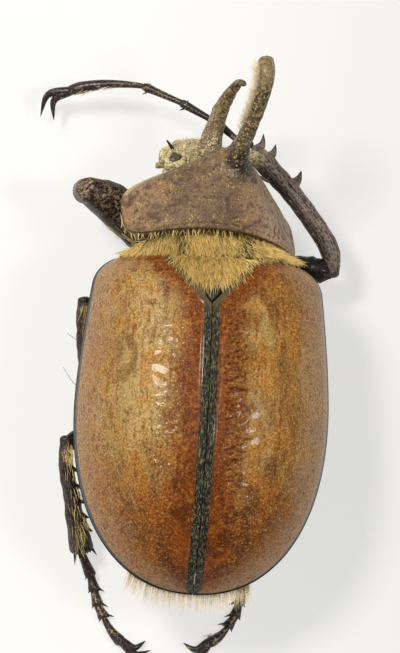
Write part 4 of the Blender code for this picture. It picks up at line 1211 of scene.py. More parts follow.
def coat(name, material, density, length, *patches):
    """Hair over patches of skin as one piece, with its place on the unwrap kept."""
    lift, mess, spread, thick, bend, seed = COATS[name]
    tree = bpy.data.node_groups.get("coat") or coat_tree()
    hair = hair_form(thick / length, bend)
    source = bpy.data.meshes.new(name + "_skin")
    form = bmesh.new()
    for patch in patches:
        form.from_mesh(patch)
    form.to_mesh(source)
    form.free()
    settings = {"Hair": hair, "Density": density / (MM * MM), "Length": length * MM, "Spread": spread}
    settings |= {"Lift": lift, "Mess": mess, "Seed": seed, "Material": material}
    mesh = grown(name, source, tree, settings).data
    bpy.data.objects.remove(hair, do_unlink=True)
    count = len(mesh.vertices)
    atlas = np.empty(count * 3, np.float32)
    mesh.attributes["atlas"].data.foreach_get("vector", atlas)
    local = np.empty((2, count), np.float32)
    for line, label in enumerate(("around", "along")):
        mesh.attributes[label].data.foreach_get("value", local[line])
    places = atlas.reshape(-1, 3)[:, :2] + (local.T - 0.5) * HAIR_PATCH
    corners = np.empty(len(mesh.loops), np.int32)
    mesh.loops.foreach_get("vertex_index", corners)
    layer = mesh.uv_layers.new(name="OFBake")
    layer.data.foreach_set("uv", places[corners].astype(np.float32).reshape(-1))
    for label in ("atlas", "lie", "cover", "grow", "top"):
        if label in mesh.attributes:
            mesh.attributes.remove(mesh.attributes[label])


def row(name, form, spots, material):
    """A form repeated on spots, each a place, a way and a size in millimetres."""
    tree = bpy.data.node_groups.get("row") or row_tree()
    mesh = bpy.data.meshes.new(name + "_spots")
    places, ways, sizes = (np.array([spot[i] for spot in spots], float) for i in range(3))
    mesh.from_pydata(((places + SHIFT) * MM).tolist(), [], [])
    for label, given in (("way", unit(ways)), ("top", UP + 0 * places), ("size", sizes * MM)):
        note(mesh, label, given)
    grown(name, mesh, tree, {"Form": form, "Material": material})
    bpy.data.objects.remove(form, do_unlink=True)


def beads(name, lines, material, sides=10):
    """Round beads along lines of places and half widths in millimetres."""
    tree = bpy.data.node_groups.get("bead") or bead_tree()
    mesh = bpy.data.meshes.new(name + "_lines")
    points, edges, radii = [], [], []
    for line in lines:
        edges += [(len(points) + i, len(points) + i + 1) for i in range(len(line) - 1)]
        points += [tuple((np.asarray(place, float) + SHIFT) * MM) for place, _ in line]
        radii += [radius * MM for _, radius in line]
    mesh.from_pydata(points, edges, [])
    note(mesh, "radius", radii)
    grown(name, mesh, tree, {"Sides": sides, "Material": material})


# The sizes and colours that a user would change


def number(label, words, default, **limits):
    return FloatProperty(name=label, description=words, default=default, **limits)


def millimetres(label, words, default):
    return number(label, words, default, min=0.0, precision=3)


def tint(label, words, default):
    return FloatVectorProperty(
        name=label, description=words, default=default, subtype="COLOR", size=3, min=0.0, max=1.0
    )


class BEETLE_PG_sizes(bpy.types.PropertyGroup):
    """Small forms of the shell, in millimetres."""

    case_thickness: millimetres("Case thickness", "Thickness of a wing case, in millimetres", 0.5)
    seam_start: millimetres("Seam gap", "Half the gap between the wing cases, in millimetres", 0.04)
    seam_width: millimetres("Seam ridge", "Width of the raised ridge on each side of the seam", 0.55)
    seam_height: millimetres("Seam height", "Height of the raised ridge along the seam", 0.1)
    wrinkle_height: millimetres("Wrinkle height", "Height of the wrinkles beside the seam", 0.07)
    bead: millimetres("Margin bead", "Half width of the bead along a wing case's margin", 0.115)
    unevenness: millimetres("Unevenness", "Height of the broad dents in the shell", 0.05)
    case_rows: IntProperty(name="Case rows", description="Rows along a wing case", default=430, min=60)


class BEETLE_PG_tints(bpy.types.PropertyGroup):
    """Colours of the shell and hair."""

    case: tint("Wing case", "Tan of the wing cases' broad middle", (0.31, 0.152, 0.036))
    # This pale tan is also the colour of the wing cases' painted highlight and painted glints
    case_pale: tint("Wing case pale", "Pale tan of the wing cases' lighter patches", (0.5, 0.355, 0.14))
    case_ochre: tint("Wing case ochre", "Yellowish brown of small patches", (0.42, 0.185, 0.02))
    case_rust: tint("Wing case rust", "Reddish brown beside the seam and at the tail", (0.19, 0.043, 0.002))
    seam: tint("Seam", "Greenish black along the seam", (0.014, 0.013, 0.007))
    shield: tint("Shield", "Brown of the prothorax", (0.225, 0.138, 0.072))
    horn: tint("Horn", "Brown of the horns", (0.28, 0.195, 0.085))
    head: tint("Head", "Brown of the head under its dust", (0.74, 0.61, 0.33))
    feeler: tint("Feelers", "Brown of the antennae, palps and jaws", (0.42, 0.33, 0.17))
    leg: tint("Leg", "Blackish brown of the legs", (0.0075, 0.005, 0.0045))
    thigh: tint("Thigh", "Dark brown of the femora", (0.018, 0.0105, 0.007))
    shin: tint("Fore shin", "Greyish brown of the fore tibiae", (0.14, 0.098, 0.075))
    foot: tint("Foot", "Brown of the feet and claws", (0.03, 0.018, 0.014))
    eye: tint("Eye", "Black of the eyes", (0.012, 0.009, 0.007))
    dust: tint("Dust", "Pale golden dust in the pits", (0.52, 0.38, 0.17))
    gold: tint("Golden hair", "Hair of the collar and the legs", (1.0, 0.72, 0.21))
    pale: tint("Pale hair", "Hair of the horn and the tail", (0.9, 0.74, 0.46))


class BEETLE_PG_coat(bpy.types.PropertyGroup):
    """Hair lengths in millimetres and densities in hairs for each square millimetre."""

    collar_density: number("Collar density", "Hairs per square millimetre", 125.0, min=0.0)
    collar_length: millimetres("Collar hair", "Length of the collar's hair", 1.2)
    brush_density: number("Brush density", "Hairs per square millimetre", 140.0, min=0.0)
    brush_length: millimetres("Horn brush", "Length of the horn's brush", 0.75)
    leg_length: millimetres("Leg hair", "Length of the hair on the legs", 1.05)
    fringe_length: millimetres("Tail fringe", "Length of the fringe at the tail", 2.05)


class BEETLE_PG_stage(bpy.types.PropertyGroup):
    """Camera, floor and lights."""

    distance: number("Camera distance", "Distance to the beetle", 1.2, unit="LENGTH")
    key: number("Key light", "Power of the light from the left, in watts", 3.0)
    fill: number("Fill light", "Power of the light from the right, in watts", 0.9)
    world: number("Surroundings", "Strength of the pale surroundings", 0.35)
    glow: number("Floor glow", "Light that the pale floor gives itself", 0.66)
    floor: tint("Floor", "Colour of the floor", (0.265, 0.263, 0.254))


class BeetlePiece(bpy.types.Operator):
    """One group of the beetle's pieces"""

    bl_options = {"REGISTER"}

    def execute(self, context):
        self.make(context.scene)
        return {"FINISHED"}


# Wing cases


# The columns of wrinkles beside the seam, how strong they are on each side, and their ends
WRINKLES = {"left": ((3.1, 3.75, 4.45), 0.9), "right": ((2.2, 2.9, 3.6), 2.7)}
WRINKLES_START_Y, WRINKLES_END_Y = 7.2, -14.0

# How the wing cases' rows and columns of points spread: closer at the margins and on the wrinkles
ROW_SHARES = (0.0, 0.03, 0.83, 0.93, 0.97, 0.99, 1.0)
ROW_PLACES = (0.0, 0.01, 0.9, 0.98, 0.9955, 0.9992, 1.0)
COLUMN_SHARES = (0.0, 0.06, 0.55, 0.8, 0.9, 0.96, 1.0)
COLUMN_PLACES = (0.0, 0.1, 0.5, 0.84, 0.955, 0.991, 1.0)
SEAM_COLUMNS, SEAM_STEP = 15, 0.08
FAR_COLUMNS = 120
INNER_COLUMNS = 14


def seam_form(seam, height, width):
    """The raised ridge beside the seam, with its fine lines and the groove outside it."""
    ridge = height * (1 - ease(seam, width - 0.05, width + 0.35))
    line = 0.03 * np.exp(-(((seam - 0.3) / 0.05) ** 2))
    groove = 0.04 * np.exp(-(((seam - width - 0.38) / 0.12) ** 2))
    return ridge - line - groove


def wrinkles(x, y, seed, columns, share):
    """Short cross ridges and pits in ragged rows some way from the seam."""
    rng = np.random.default_rng(seed)
    total = np.zeros_like(x)
    at = WRINKLES_START_Y
    while at > WRINKLES_END_Y:
        strong = float(ease(at, -11.0, -5.0) * (1 - ease(at, 4.5, WRINKLES_START_Y))) * 0.85 + 0.15
        for column in columns:
            if rng.random() < 0.35 + 0.25 * (column == columns[-1]):
                continue
            across = column + rng.uniform(-0.25, 0.25) - 0.02 * (at + 3.0)
            along = at + rng.uniform(-0.2, 0.2)
            reach = rng.uniform(0.25, 0.6)
            slant = rng.uniform(-0.5, 0.5)
            dx = x - across
            dy = y - along - slant * dx - 0.35 * dx * dx
            size = strong * share * rng.uniform(0.4, 1.3)
            total += size * np.exp(-((dx / reach) ** 2) - (dy / 0.15) ** 2)
            total -= 1.3 * size * np.exp(-((dx + 0.5 * reach) ** 2 + (dy + 0.2) ** 2) / 0.02)
        at -= rng.uniform(0.3, 0.5)
    return total


class BEETLE_OT_wing_cases(BeetlePiece):
    """Makes the two wing cases, with their seam, wrinkles and margin beads"""

    bl_idname = "beetle.wing_cases"
    bl_label = "Wing cases"

    def make(self, scene):
        sizes = scene.beetle_sizes
        paint = case_paint()
        lines = []
        for side, sign in SIDES.items():
            share = np.linspace(0, 1, sizes.case_rows)
            y = blend(CASE_BASE_Y - 0.02, CASE_APEX_Y + 0.004, np.interp(share, ROW_SHARES, ROW_PLACES))
            start, width = inner_edge(y, sizes.seam_start), case_half_width(y)
            top, seam, edge = self.outside(side, sizes, y, start, width)
            x = np.linspace(0, 1, INNER_COLUMNS)[None, :] * (width - start)[:, None] + start[:, None]
            low = under_case(np.minimum(1.0, x / width[:, None]), y[:, None] + 0 * x, sizes.case_thickness)
            low[..., 0] = np.maximum(low[..., 0], start[:, None])
            low[..., 2] = np.maximum(low[..., 2], CASE_MARGIN_Z - 0.05)
            grid = np.concatenate((top, low[:, ::-1]), axis=1)
            grid[..., 0] *= sign
            seam = np.concatenate((seam, 5.0 + 0 * x), axis=1)
            edge = np.concatenate((edge, 0 * x), axis=1)
            skinned(side + "_wing_case", grid, paint, side + "_elytron", 55, "flat", seam=seam, edge=edge)
            rim = list(zip(width - 0.06, y))[::2] + [(sizes.seam_start, CASE_APEX_Y)]
            lines.append([((sign * x, y, CASE_MARGIN_Z + 0.02), sizes.bead) for x, y in rim])
        bead = plain_shell("margin_bead", tone("leg"), 0.2, (0.25, 0.4), 3.0)
        beads("wing_case_beads", lines, bead, sides=12)

    def outside(self, side, sizes, y, start, width):
        """Rows of points over a wing case, with how far each lies from the seam and the margin."""
        squeeze = np.minimum(1.0, (width - start) / 3.0)[:, None]
        near = start[:, None] + SEAM_STEP * np.arange(SEAM_COLUMNS)[None, :] * squeeze
        turn = np.interp(np.arange(1, FAR_COLUMNS + 1) / FAR_COLUMNS, COLUMN_SHARES, COLUMN_PLACES)
        far = near[:, -1:] + (width - near[:, -1])[:, None] * turn[None, :]
        x = np.concatenate((near, far), axis=1)
        rows = y[:, None] + 0 * x
        top = case_surface(np.minimum(1.0, x / width[:, None]), rows)
        seam = (x - start[:, None]) / squeeze
        edge = width[:, None] - x
        calm = ease(edge, 0.1, 1.5) * ease(seam, 0.6, 1.6)
        by_plate = 1 - 0.75 * ease(y, PLATE_TIP_Y - 0.6, PLATE_TIP_Y + 0.8)
        calmer = ease(y, CASE_APEX_Y, CASE_APEX_Y + 0.8) * by_plate
        sign = SIDES[side]
        lift = seam_form(seam, sizes.seam_height, sizes.seam_width) * calmer[:, None]
        lift = lift + sizes.wrinkle_height * wrinkles(x, rows, 5 + sign, *WRINKLES[side])
        lift = lift + sizes.unevenness * uneven(top * (1.0, 0.6, 1.0), 3.4, 11 + sign) * calm
        lift = lift + 0.35 * sizes.unevenness * uneven(top, 0.9, 21 + sign) * calm
        return raised(top, lift, False), seam, edge


# Small plate, collar and trunk


def plate_rows(rows, columns):
    y = np.linspace(PLATE_TIP_Y + 0.25, CASE_BASE_Y - 0.05, rows)
    half = inner_edge(y, 0.0) - 0.12
    q = np.linspace(-1, 1, columns)[None, :]
    x = half[:, None] * q
    top = case_surface(x / case_half_width(y)[:, None], y[:, None] + 0 * x)
    top[..., 2] -= 0.25 * np.abs(q) ** 4 + 0.04
    return top


def collar_rows(rows):
    """Rings from the front of the trunk to the neck's, from the right over the back."""
    front_y = CASE_BASE_Y - TRUNK_SETBACK
    ring = trunk_ring(front_y, STERNITE_STEP)
    back = np.maximum(0.0, (CASE_MARGIN_Z - ring[:, 2]) / (CASE_MARGIN_Z - belly_z(front_y)))
    trunk = np.stack((ring[:, 0] * 0.97, CASE_BASE_Y + GAP - FRONT_SLOPE * back, ring[:, 2]), axis=-1)
    middle_u = (COLLAR_TOP_U + COLLAR_BOTTOM_U) / 2
    over, under = ring_angles()
    above = blend(middle_u, COLLAR_TOP_U, np.abs(np.sin(over)) ** 0.8)
    u = np.concatenate((above, blend(middle_u, COLLAR_BOTTOM_U, -np.sin(under))))
    x = COLLAR_HALF_WIDTH * np.cos(np.concatenate((over, under)))
    neck = hung(np.stack((x, 0 * x + COLLAR_F, u), axis=-1))
    return blend(trunk[None], neck[None], np.linspace(0, 1, rows)[:, None, None])


class BEETLE_OT_trunk(BeetlePiece):
    """Makes the small plate, the collar, the trunk, the belly and the tail plate"""

    bl_idname = "beetle.trunk"
    bl_label = "Trunk"

    def make(self, scene):
        top = plate_rows(24, 25)
        plate = np.concatenate((top, (top - (0, 0, PLATE_THICKNESS))[:, ::-1]), axis=1)
        skinned("small_plate", roughened(plate, 0.02, 0.8, 4), plate_paint(), "scutellum", caps="flat")
        skinned("collar", roughened(collar_rows(COLLAR_RINGS), 0.06, 0.9, 5), collar_paint(), "mesothorax")

        belly = belly_paint()
        stations = np.linspace(CASE_BASE_Y - TRUNK_SETBACK, WAIST_Y, TRUNK_RINGS)
        trunk = np.array([trunk_ring(y) for y in stations])
        skinned("trunk", roughened(trunk, 0.03, 1.2, 6), belly, "pterothorax")

        rings = []
        for plate in range(STERNITES):
            ends = [((plate + step) / STERNITES) ** STERNITE_SHORTENING for step in (0, 1)]
            start, end = (blend(WAIST_Y - 0.05, ABDOMEN_END_Y, share) for share in ends)
            for share, step in STERNITE_PROFILE:
                rings.append(trunk_ring(blend(start, end, share), STERNITE_STEP * step))
        rings.append(trunk_ring(ABDOMEN_END_Y, STERNITE_STEP))
        skinned("belly", roughened(np.array(rings), 0.02, 0.7, 7), belly, "abdomen", 75)

        base = trunk_ring(ABDOMEN_END_Y - 0.15, STERNITE_STEP)
        centre = base.mean(axis=0)
        bend = math.pi / 2 * np.arange(TAIL_RINGS)[:, None, None] / (TAIL_RINGS - 0.5)
        rings = centre + (base - centre) * np.cos(bend) ** 0.7 - FORWARD * np.sin(bend)
        skinned("tail_plate", roughened(rings, 0.02, 0.6, 8), belly, "pygidium")


# Shield and its horn


class BEETLE_OT_shield(BeetlePiece):
    """Makes the shield of the prothorax, with its beaded margin"""

    bl_idname = "beetle.shield"
    bl_label = "Shield"

    def make(self, scene):
        angles = turns(SHIELD_COLUMNS)
        t = np.linspace(0.0, 1.0, SHIELD_ROWS)[:, None] ** 0.85 + 0 * angles
        grid = shield_surface(angles + 0 * t, t)
        margin = grid[-1]
        edge = np.linalg.norm(grid - margin, axis=-1)
        bead = 0.1 * np.exp(-(((edge - 0.16) / 0.13) ** 2)) - 0.07 * np.exp(-(((edge - 0.48) / 0.14) ** 2))
        dents = scene.beetle_sizes.unevenness * (uneven(grid, 2.6, 31) + 0.4 * uneven(grid, 0.7, 32))
        grid = raised(grid, bead + dents * ease(edge, 0.2, 1.2), True)
        centre_f = SHIELD_CENTRE_F
        inward = unit(((0.0, centre_f, 0.0) - margin) * (1, 1, 0))
        wall_f = blend(margin[:, 1], centre_f, SHIELD_OVERHANG / SHIELD_HALF_LENGTH)
        lips = [margin + inward * 0.05 + (0, 0, -0.12), margin + inward * 0.16 + (0, 0, -0.28)]
        wall = np.stack((margin[:, 0] * 0.86, wall_f, margin[:, 2] - 0.6), axis=-1)
        low = np.stack((margin[:, 0] * 0.74, blend(centre_f, wall_f, 0.98), 0 * wall_f - 3.0), axis=-1)
        c, s = np.cos(angles), np.sin(angles)
        keel = np.stack((4.1 * c, centre_f + 1.9 * s, 0 * c + STERNUM_U + 0.25), axis=-1)
        under = list(curve_through([lips[1], wall, low, keel], 8))
        grid = np.concatenate((grid, np.array([lips[0]] + under)))
        far = np.linalg.norm(grid - margin, axis=-1)
        from_painted_shade = np.linalg.norm(grid - PAINTED_SHADE_CENTRE, axis=-1)
        ahead = ease(s, 0.15, 0.6) * ease(c, 0.5, -0.2)
        values = {"edge": far, "root": from_painted_shade, "film": ahead * (1 - ease(far, 0.3, 1.5))}
        skinned("shield", hung(grid), shield_paint(), "prothorax", 70, **values)


def horn_rings(stations, steps, sides):
    """Rings of a horn in the middle plane, as x, f and u; the angle 0 is the right, then forward."""
    line = curve_through(stations, steps)
    path = np.stack((0 * line[:, 0], line[:, 0], line[:, 1]), axis=-1)
    path, radii = rounded_ends(path, line[:, 2], (False, True))
    ways = unit(np.gradient(path, axis=0))
    forward = np.stack((0 * radii, ways[:, 2], -ways[:, 1]), axis=-1)[:, None]
    angles = turns(sides)[None, :, None]
    around = np.array((1.0, 0.0, 0.0)) * np.cos(angles) + forward * np.sin(angles)
    return path[:, None] + around * radii[:, None, None]


def widened(ring, out):
    return ring + unit(ring - ring.mean(axis=0)) * out


HORN_SIDES = 64
# How the horns' roots spread: on the shield by share and sinking, on the head by reach and drop
SHIELD_ROOT = ((0.34, -0.22), (0.26, -0.08), (0.19, 0.0), (0.13, 0.03), (0.07, 0.05), (0.02, 0.05))
BROW_ROOT = ((0.75, 0.95), (0.45, 0.6), (0.22, 0.34), (0.08, 0.14))


class BEETLE_OT_horns(BeetlePiece):
    """Makes the horn of the shield and the horn of the head"""

    bl_idname = "beetle.horns"
    bl_label = "Horns"

    def make(self, scene):
        paint = horn_paint()
        angles = turns(HORN_SIDES)
        root = []
        for t, out in SHIELD_ROOT:
            root.append(widened(shield_surface(angles, t + 0 * angles), out * 0.5) + (0, 0, out))
        rings = np.concatenate((np.array(root), horn_rings(PRONOTAL_HORN, 14, HORN_SIDES)[4:]))
        height = down_rows(rings)
        granules = 0.045 * uneven(rings, 0.42, 41) * (1 - ease(height, 0.55, 0.8))
        rings = pushed(rings, granules + 0.03 * uneven(rings, 1.1, 42))
        # Painted shade along the horn's right side and up it, joined to the painted shade at its root
        shaded = 1.25 + 2.5 * (1 - ease(np.cos(angles), 0.1, 0.8)) + 2.0 * ease(height, 0.5, 0.75)
        from_painted_shade = np.minimum(np.linalg.norm(rings - PAINTED_SHADE_CENTRE, axis=-1), shaded)
        values = {"height": height, "dusty": 0.15 * (1 - height), "root": from_painted_shade}
        skinned("shield_horn", hung(rings), paint, "pronotal_horn", 80, **values)

        rings = horn_rings(HEAD_HORN, 14, HORN_SIDES)
        root = [widened(rings[0], out) + (0, -0.35 * down, -down) for out, down in BROW_ROOT]
        rings = np.concatenate((np.array(root), rings))
        height = down_rows(rings, 0.16, 0.6)
        granules = 0.05 * uneven(rings, 0.45, 43) * (1 - ease(height, 0.5, 0.75))
        rings = pushed(rings, granules)
        dusty = (1 - 0.9 * ease(height, 0.2, 0.5)) * (0.4 + 0.6 * ease(np.cos(angles), 0.4, -0.6))
        values = {"height": height, "dusty": dusty, "root": 9.0 + 0 * height}
        skinned("brow_horn", hung(rings), paint, "head_horn", 80, **values)


# Head


def head_rows(steps=7, sides=88):
    stations = curve_through(HEAD_STATIONS, steps)
    f, half, top, bottom = stations.T
    middle = blend(bottom, top, 0.52)
    angles = turns(sides)
    c, s = np.cos(angles), np.sin(angles)
    x = half[:, None] * (np.sign(c) * np.abs(c) ** 0.8)[None]
    reach = np.where(s[None] > 0, (top - middle)[:, None], (middle - bottom)[:, None])
    u = middle[:, None] + reach * (np.sign(s) * np.abs(s) ** 0.85)[None]
    return np.stack((x, np.broadcast_to(f[:, None], x.shape), u), axis=-1)


class BEETLE_OT_head(BeetlePiece):
    """Makes the head, its eyes, feelers and jaws"""

    bl_idname = "beetle.head"
    bl_label = "Head"

    def make(self, scene):
        head = head_paint()
        soft = plain_shell("feeler_shell", tone("feeler"), 0.8, (0.45, 0.65), 3.0, coat=0.0)
        grid = roughened(roughened(head_rows(), 0.12, 0.9, 51), 0.06, 0.35, 52)
        shape = Shape()
        shape.rings(hung(grid))
        for sign in SIDES.values():
            brow = curve_through(BROW, 6) * (sign, 1, 1, 1)
            shape.rings(hung(roughened(tube(brow[:, :3], brow[:, 3], 24), 0.1, 0.3, 54)))
        self.crust(shape, grid)
        shape.piece("head_shell", head, ("head",), 70)

        spike = hung(curve_through(BROW_SPIKE, 5))
        line = list(zip(spike, np.linspace(0.26, 0.08, len(spike))))
        beads("brow_spike", [line], kept("leg_shell", leg_paint), sides=12)

        lens = eye_paint()
        for side, sign in SIDES.items():
            grid = ball(EYE_CENTRE * (sign, 1, 1), EYE_RADIUS, *LENS_GRID)
            skinned(side + "_lens", hung(grid), lens, side + "_eye")
        for side, sign in SIDES.items():
            for feeler, stations in FEELERS.items():
                line = curve_through(stations, 8) * (sign, 1, 1, 1)
                radii = line[:, 3]
                if feeler != "mandible":
                    radii = radii * (1 + 0.14 * np.sin(np.arange(len(radii)) * math.pi / 2))
                form = roughened(tube(line[:, :3], radii, 24), 0.07, 0.25, 55)
                name = side + "_" + feeler
                skinned(name + "_form", hung(form), soft if feeler == "palp" else head, name)

    def crust(self, shape, grid):
        """Lumps of dried dust round the eyes and over the front of the head."""
        rng = np.random.default_rng(53)
        places = []
        for sign in SIDES.values():
            eye = EYE_CENTRE * (sign, 1, 1)
            gaze = unit(np.array((sign * 0.35, 0.0, 1.0)))
            first = unit(np.cross(gaze, FORWARD))
            second = np.cross(gaze, first)
            for turn in turns(EYE_LUMPS):
                angle = turn + rng.uniform(-0.2, 0.2)
                out = rng.uniform(0.34, 0.98) * EYE_RADIUS
                ring = (first * math.cos(angle) + second * math.sin(angle)) * out
                places.append((eye + ring + gaze * rng.uniform(0.3, 0.62), rng.uniform(0.18, 0.38)))
            for count, (x, f, u), size in CRUST:
                for _ in range(count):
                    place = np.array((sign * rng.uniform(*x), rng.uniform(*f), rng.uniform(*u)))
                    places.append((place, rng.uniform(*size)))
        upper = grid[8:-4, 2:43].reshape(-1, 3)
        for at in rng.choice(len(upper), HEAD_LUMPS, replace=False):
            places.append((upper[at] - (0, 0, 0.02), rng.uniform(0.1, 0.3)))
        for number, (place, radius) in enumerate(places):
            lump = ball(place, radius * LUMP_SHAPE, *LUMP_GRID)
            shape.rings(hung(roughened(lump, 0.1, 0.16, 200 + number)))


# Legs


def leg_path(name, part, steps=12):
    line = curve_through(LEGS[name][part], steps)
    return line[:, :3], line[:, 3]


def along_tibia(name, share):
    """A place on a tibia's middle line, its direction and its half width."""
    line, widths = leg_path(name, "tibia")
    lengths = np.concatenate(((0.0,), np.cumsum(np.linalg.norm(np.diff(line, axis=0), axis=1))))
    at = share * lengths[-1]
    place = np.array([np.interp(at, lengths, line[:, axis]) for axis in range(3)])
    i = min(len(line) - 2, int(np.searchsorted(lengths, at)))
    return place, unit(line[i + 1] - line[max(0, i - 1)]), float(np.interp(at, lengths, widths))


def thorn(root, tip, radius, bend=(0, 0, 0), sides=12, flare=0.0, taper=1.35):
    """A pointed tooth or claw that curves through a bent middle, its root widened by the flare."""
    root, tip, bend = (np.asarray(value, float) for value in (root, tip, bend))
    line = curve_through((root, (root + tip) / 2 + bend, tip), 7)
    share = np.linspace(0, 1, len(line))
    radii = radius * (1 - share**taper * 0.95) * (1 + flare * (1 - share) ** 4) / (1 + 0.45 * flare)
    along = unit(tip - root)
    lean = (0, 0, 1) if abs(along[2]) < 0.8 else (1, 0, 0)
    return on_floor(tube(line, radii, sides, lean=lean, rounds=(False, False)))


# Teeth of a fore tibia: outward or inward, place along it, reach, lean, half width and flare
FORE_TEETH = (
    (1, 0.667, 1.1, 0.4, 0.78, 0.9),
    (1, 0.915, 0.95, 0.35, 0.72, 0.9),
    (1, 1.0, 1.05, 0.55, 0.62, 0.9),
    (-1, 0.74, 0.55, 2.5, 0.3, 0.0),
)
RIDGE_SPINES = (0.26, 0.42, 0.56, 0.7, 0.83)
RIBS = 19
SPINE_PROFILE = ((0.0, 0.24), (0.35, 0.2), (0.72, 0.1))
TIP_SPURS = ((1.0, 1.1), (0.35, 0.8), (-0.75, 1.5), (-0.3, 1.1))
CROWN_SPINES = 11
THIGH_SIDES = 44
KNEE_SIDES = 32
SHIN_SIDES = 80


def fore_teeth(name, sign):
    for side, share, out, lean, thick, flare in FORE_TEETH:
        place, along, radius = along_tibia(name, share)
        outward = beside(along) * sign * side
        tip = place + outward * (radius + out) + along * lean
        yield thorn(place + outward * radius * 0.3, tip, thick, outward * 0.1 - along * 0.2, 20, flare)


def tip_spurs(name, sign):
    place, along, radius = along_tibia(name, 0.97)
    outward = beside(along) * sign * radius
    for turn, length in TIP_SPURS:
        tip = place + outward * turn * 1.15 + along * (length + GAP) + UP * 0.25
        yield thorn(place + outward * turn * 0.6, tip, 0.27, sides=14, flare=0.5)


def shin_spines(name, sign):
    """Where spines stand on a middle or hind tibia: a crown at its tip and groups along it."""
    place, along, radius = along_tibia(name, 0.98)
    above = np.cross(beside(along), along)
    for step in range(CROWN_SPINES):
        angle = 2 * math.pi * (step + 0.3 * (step % 2)) / CROWN_SPINES
        outward = beside(along) * math.cos(angle) + above * math.sin(angle)
        size = (0.8, 0.8, 0.55 + 0.4 * (step % 3) / 2)
        yield place + outward * radius * 0.72, along + outward * 0.4, size
    for share in RIDGE_SPINES:
        place, along, radius = along_tibia(name, share)
        outward = beside(along) * sign
        for drop in (-0.35, 0.1, 0.4):
            root = place + outward * radius * 0.75 + UP * drop * 0.6
            yield root, outward * 0.75 + along * 0.7 + UP * drop, (0.75, 0.75, 0.8)


class BEETLE_OT_legs(BeetlePiece):
    """Makes the coxae, femora and tibiae, with their teeth, spurs and spines"""

    bl_idname = "beetle.legs"
    bl_label = "Legs"

    def make(self, scene):
        paint, thigh, shin = kept("leg_shell", leg_paint), thigh_paint(), shin_paint()
        spots = []
        for number, name in enumerate(LEGS):
            sign = SIDES[name.split("_")[0]]
            self.coxa(name, paint)
            self.thigh(name, thigh, 60 + number)
            self.shin(name, sign, shin, 70 + number)
            if not name.endswith("fore"):
                spots += shin_spines(name, sign)
        row("shin_spines", spindle("spine_form", SPINE_PROFILE, 5, 0.1), spots, paint)

    def thigh(self, name, paint, seed):
        line, widths = leg_path(name, "femur")
        grid = tube(line, widths, THIGH_SIDES, high=0.9)
        rubbed = 0.9 * ease(down_rows(grid), 0.86, 0.97) * name.startswith("left")
        # The left fore femur's top is paler: partly wear, partly painted sheen on the side facing up to the
        # light
        if name == "left_fore":
            upper = ease((grid - grid.mean(axis=1, keepdims=True))[..., 2] / widths.max(), 0.35, 0.9)
            rubbed = np.maximum(rubbed, 0.3 + 0.5 * upper)
        shape = Shape()
        shape.rings(on_floor(roughened(grid, 0.07, 0.7, seed)), rubbed=rubbed)
        shins, shin_widths = leg_path(name, "tibia")
        joint = np.array((line[-1], blend(line[-1], shins[0], 0.6), shins[0]))
        knee = np.array((0.9 * widths[-1], 1.03 * widths[-1], 0.7 * shin_widths[0]))
        form = tube(joint, knee, KNEE_SIDES)
        # The left fore knee is paler: partly wear, partly a painted highlight ring
        shape.rings(on_floor(form), rubbed=np.full(form.shape[:2], 0.75 if name == "left_fore" else 0.0))
        shape.piece(name + "_thigh", paint, (name + "_femur",), 75)

    def shin(self, name, sign, paint, seed):
        fore = name.endswith("fore")
        line, widths = leg_path(name, "tibia")
        lean = LEGS[name].get("lean", UP)
        grid = tube(line, widths, SHIN_SIDES, lean=lean, high=0.82, ribs=RIBS, rib_depth=0.012)
        angles = turns(SHIN_SIDES)
        outer = ease(np.cos(angles) * (sign if fore else -sign), -0.75, 0.1)
        share = down_rows(grid)
        values = {
            "ridge": np.cos(RIBS * angles) + 0 * share,
            "brown": (0.95 if fore else 0.35) * ease(share, -0.05, 0.25) * (0.25 + 0.75 * outer),
            "dusty": ease(share, 0.68, 0.95) * (0.85 if fore else 0.1),
        }
        shape = Shape()
        shape.rings(on_floor(roughened(grid, 0.05 if fore else 0.09, 0.7, seed)), **values)
        forms, ridge, brown = (fore_teeth, 0.4, 0.8) if fore else (tip_spurs, 0.0, 0.0)
        for form in forms(name, sign):
            far = down_rows(form)
            shape.rings(form, ridge=ridge + 0 * far, brown=brown * (1 - ease(far, 0.5, 1.0)), dusty=0 * far)
        shape.piece(name + "_shin", paint, (name + "_tibia",), 75)

    def coxa(self, name, paint):
        grid = ball(*LEGS[name]["coxa"], *COXA_GRID)[::-1]
        if not name.endswith("fore"):
            y = grid[..., 1]
            half = case_half_width(y) - 0.7 - GAP
            share = np.minimum(1.0, np.abs(grid[..., 0]) / half)
            roof = blend(CASE_MARGIN_Z, np.vectorize(belly_z)(y), np.sqrt(1 - share**2) ** 0.85)
            grid[..., 2] = np.minimum(grid[..., 2], roof - 0.05)
        skinned(name + "_hip", on_floor(grid), paint, name + "_coxa", 75)


# The foot's short joints and its last one, as places along them and half widths
FOOT_PROFILE = (
    (0.0, 0.74), (0.1, 0.7), (0.35, 0.76), (0.62, 0.88), (0.82, 1.0), (0.93, 1.02), (1.0, 0.76), (1.03, 0.4),
)
LAST_PROFILE = ((0.0, 0.24), (0.1, 0.28), (0.35, 0.36), (0.6, 0.45), (0.82, 0.55), (0.93, 0.51), (1.0, 0.36))
LAST_SIDES = 24
CLAW_RADIUS = 0.42
CLAW_BOW = 0.28
# Spines of a short joint: outward turn, rise and length
JOINT_SPINES = ((1.0, 0.15, 0.95), (0.6, 0.4, 0.6), (-0.9, 0.2, 0.6))


def last_joint(name, steps):
    """The middle line of a foot's last joint, its half widths and its direction."""
    joints, bow, _ = FEET[name]
    start, end = np.array(joints[-2:])
    share = np.linspace(0, 1, steps)
    path = blend(start, end, share[:, None]) + np.array(bow) * (4 * share * (1 - share))[:, None]
    return path, np.interp(share, *zip(*LAST_PROFILE)), unit(end - start)


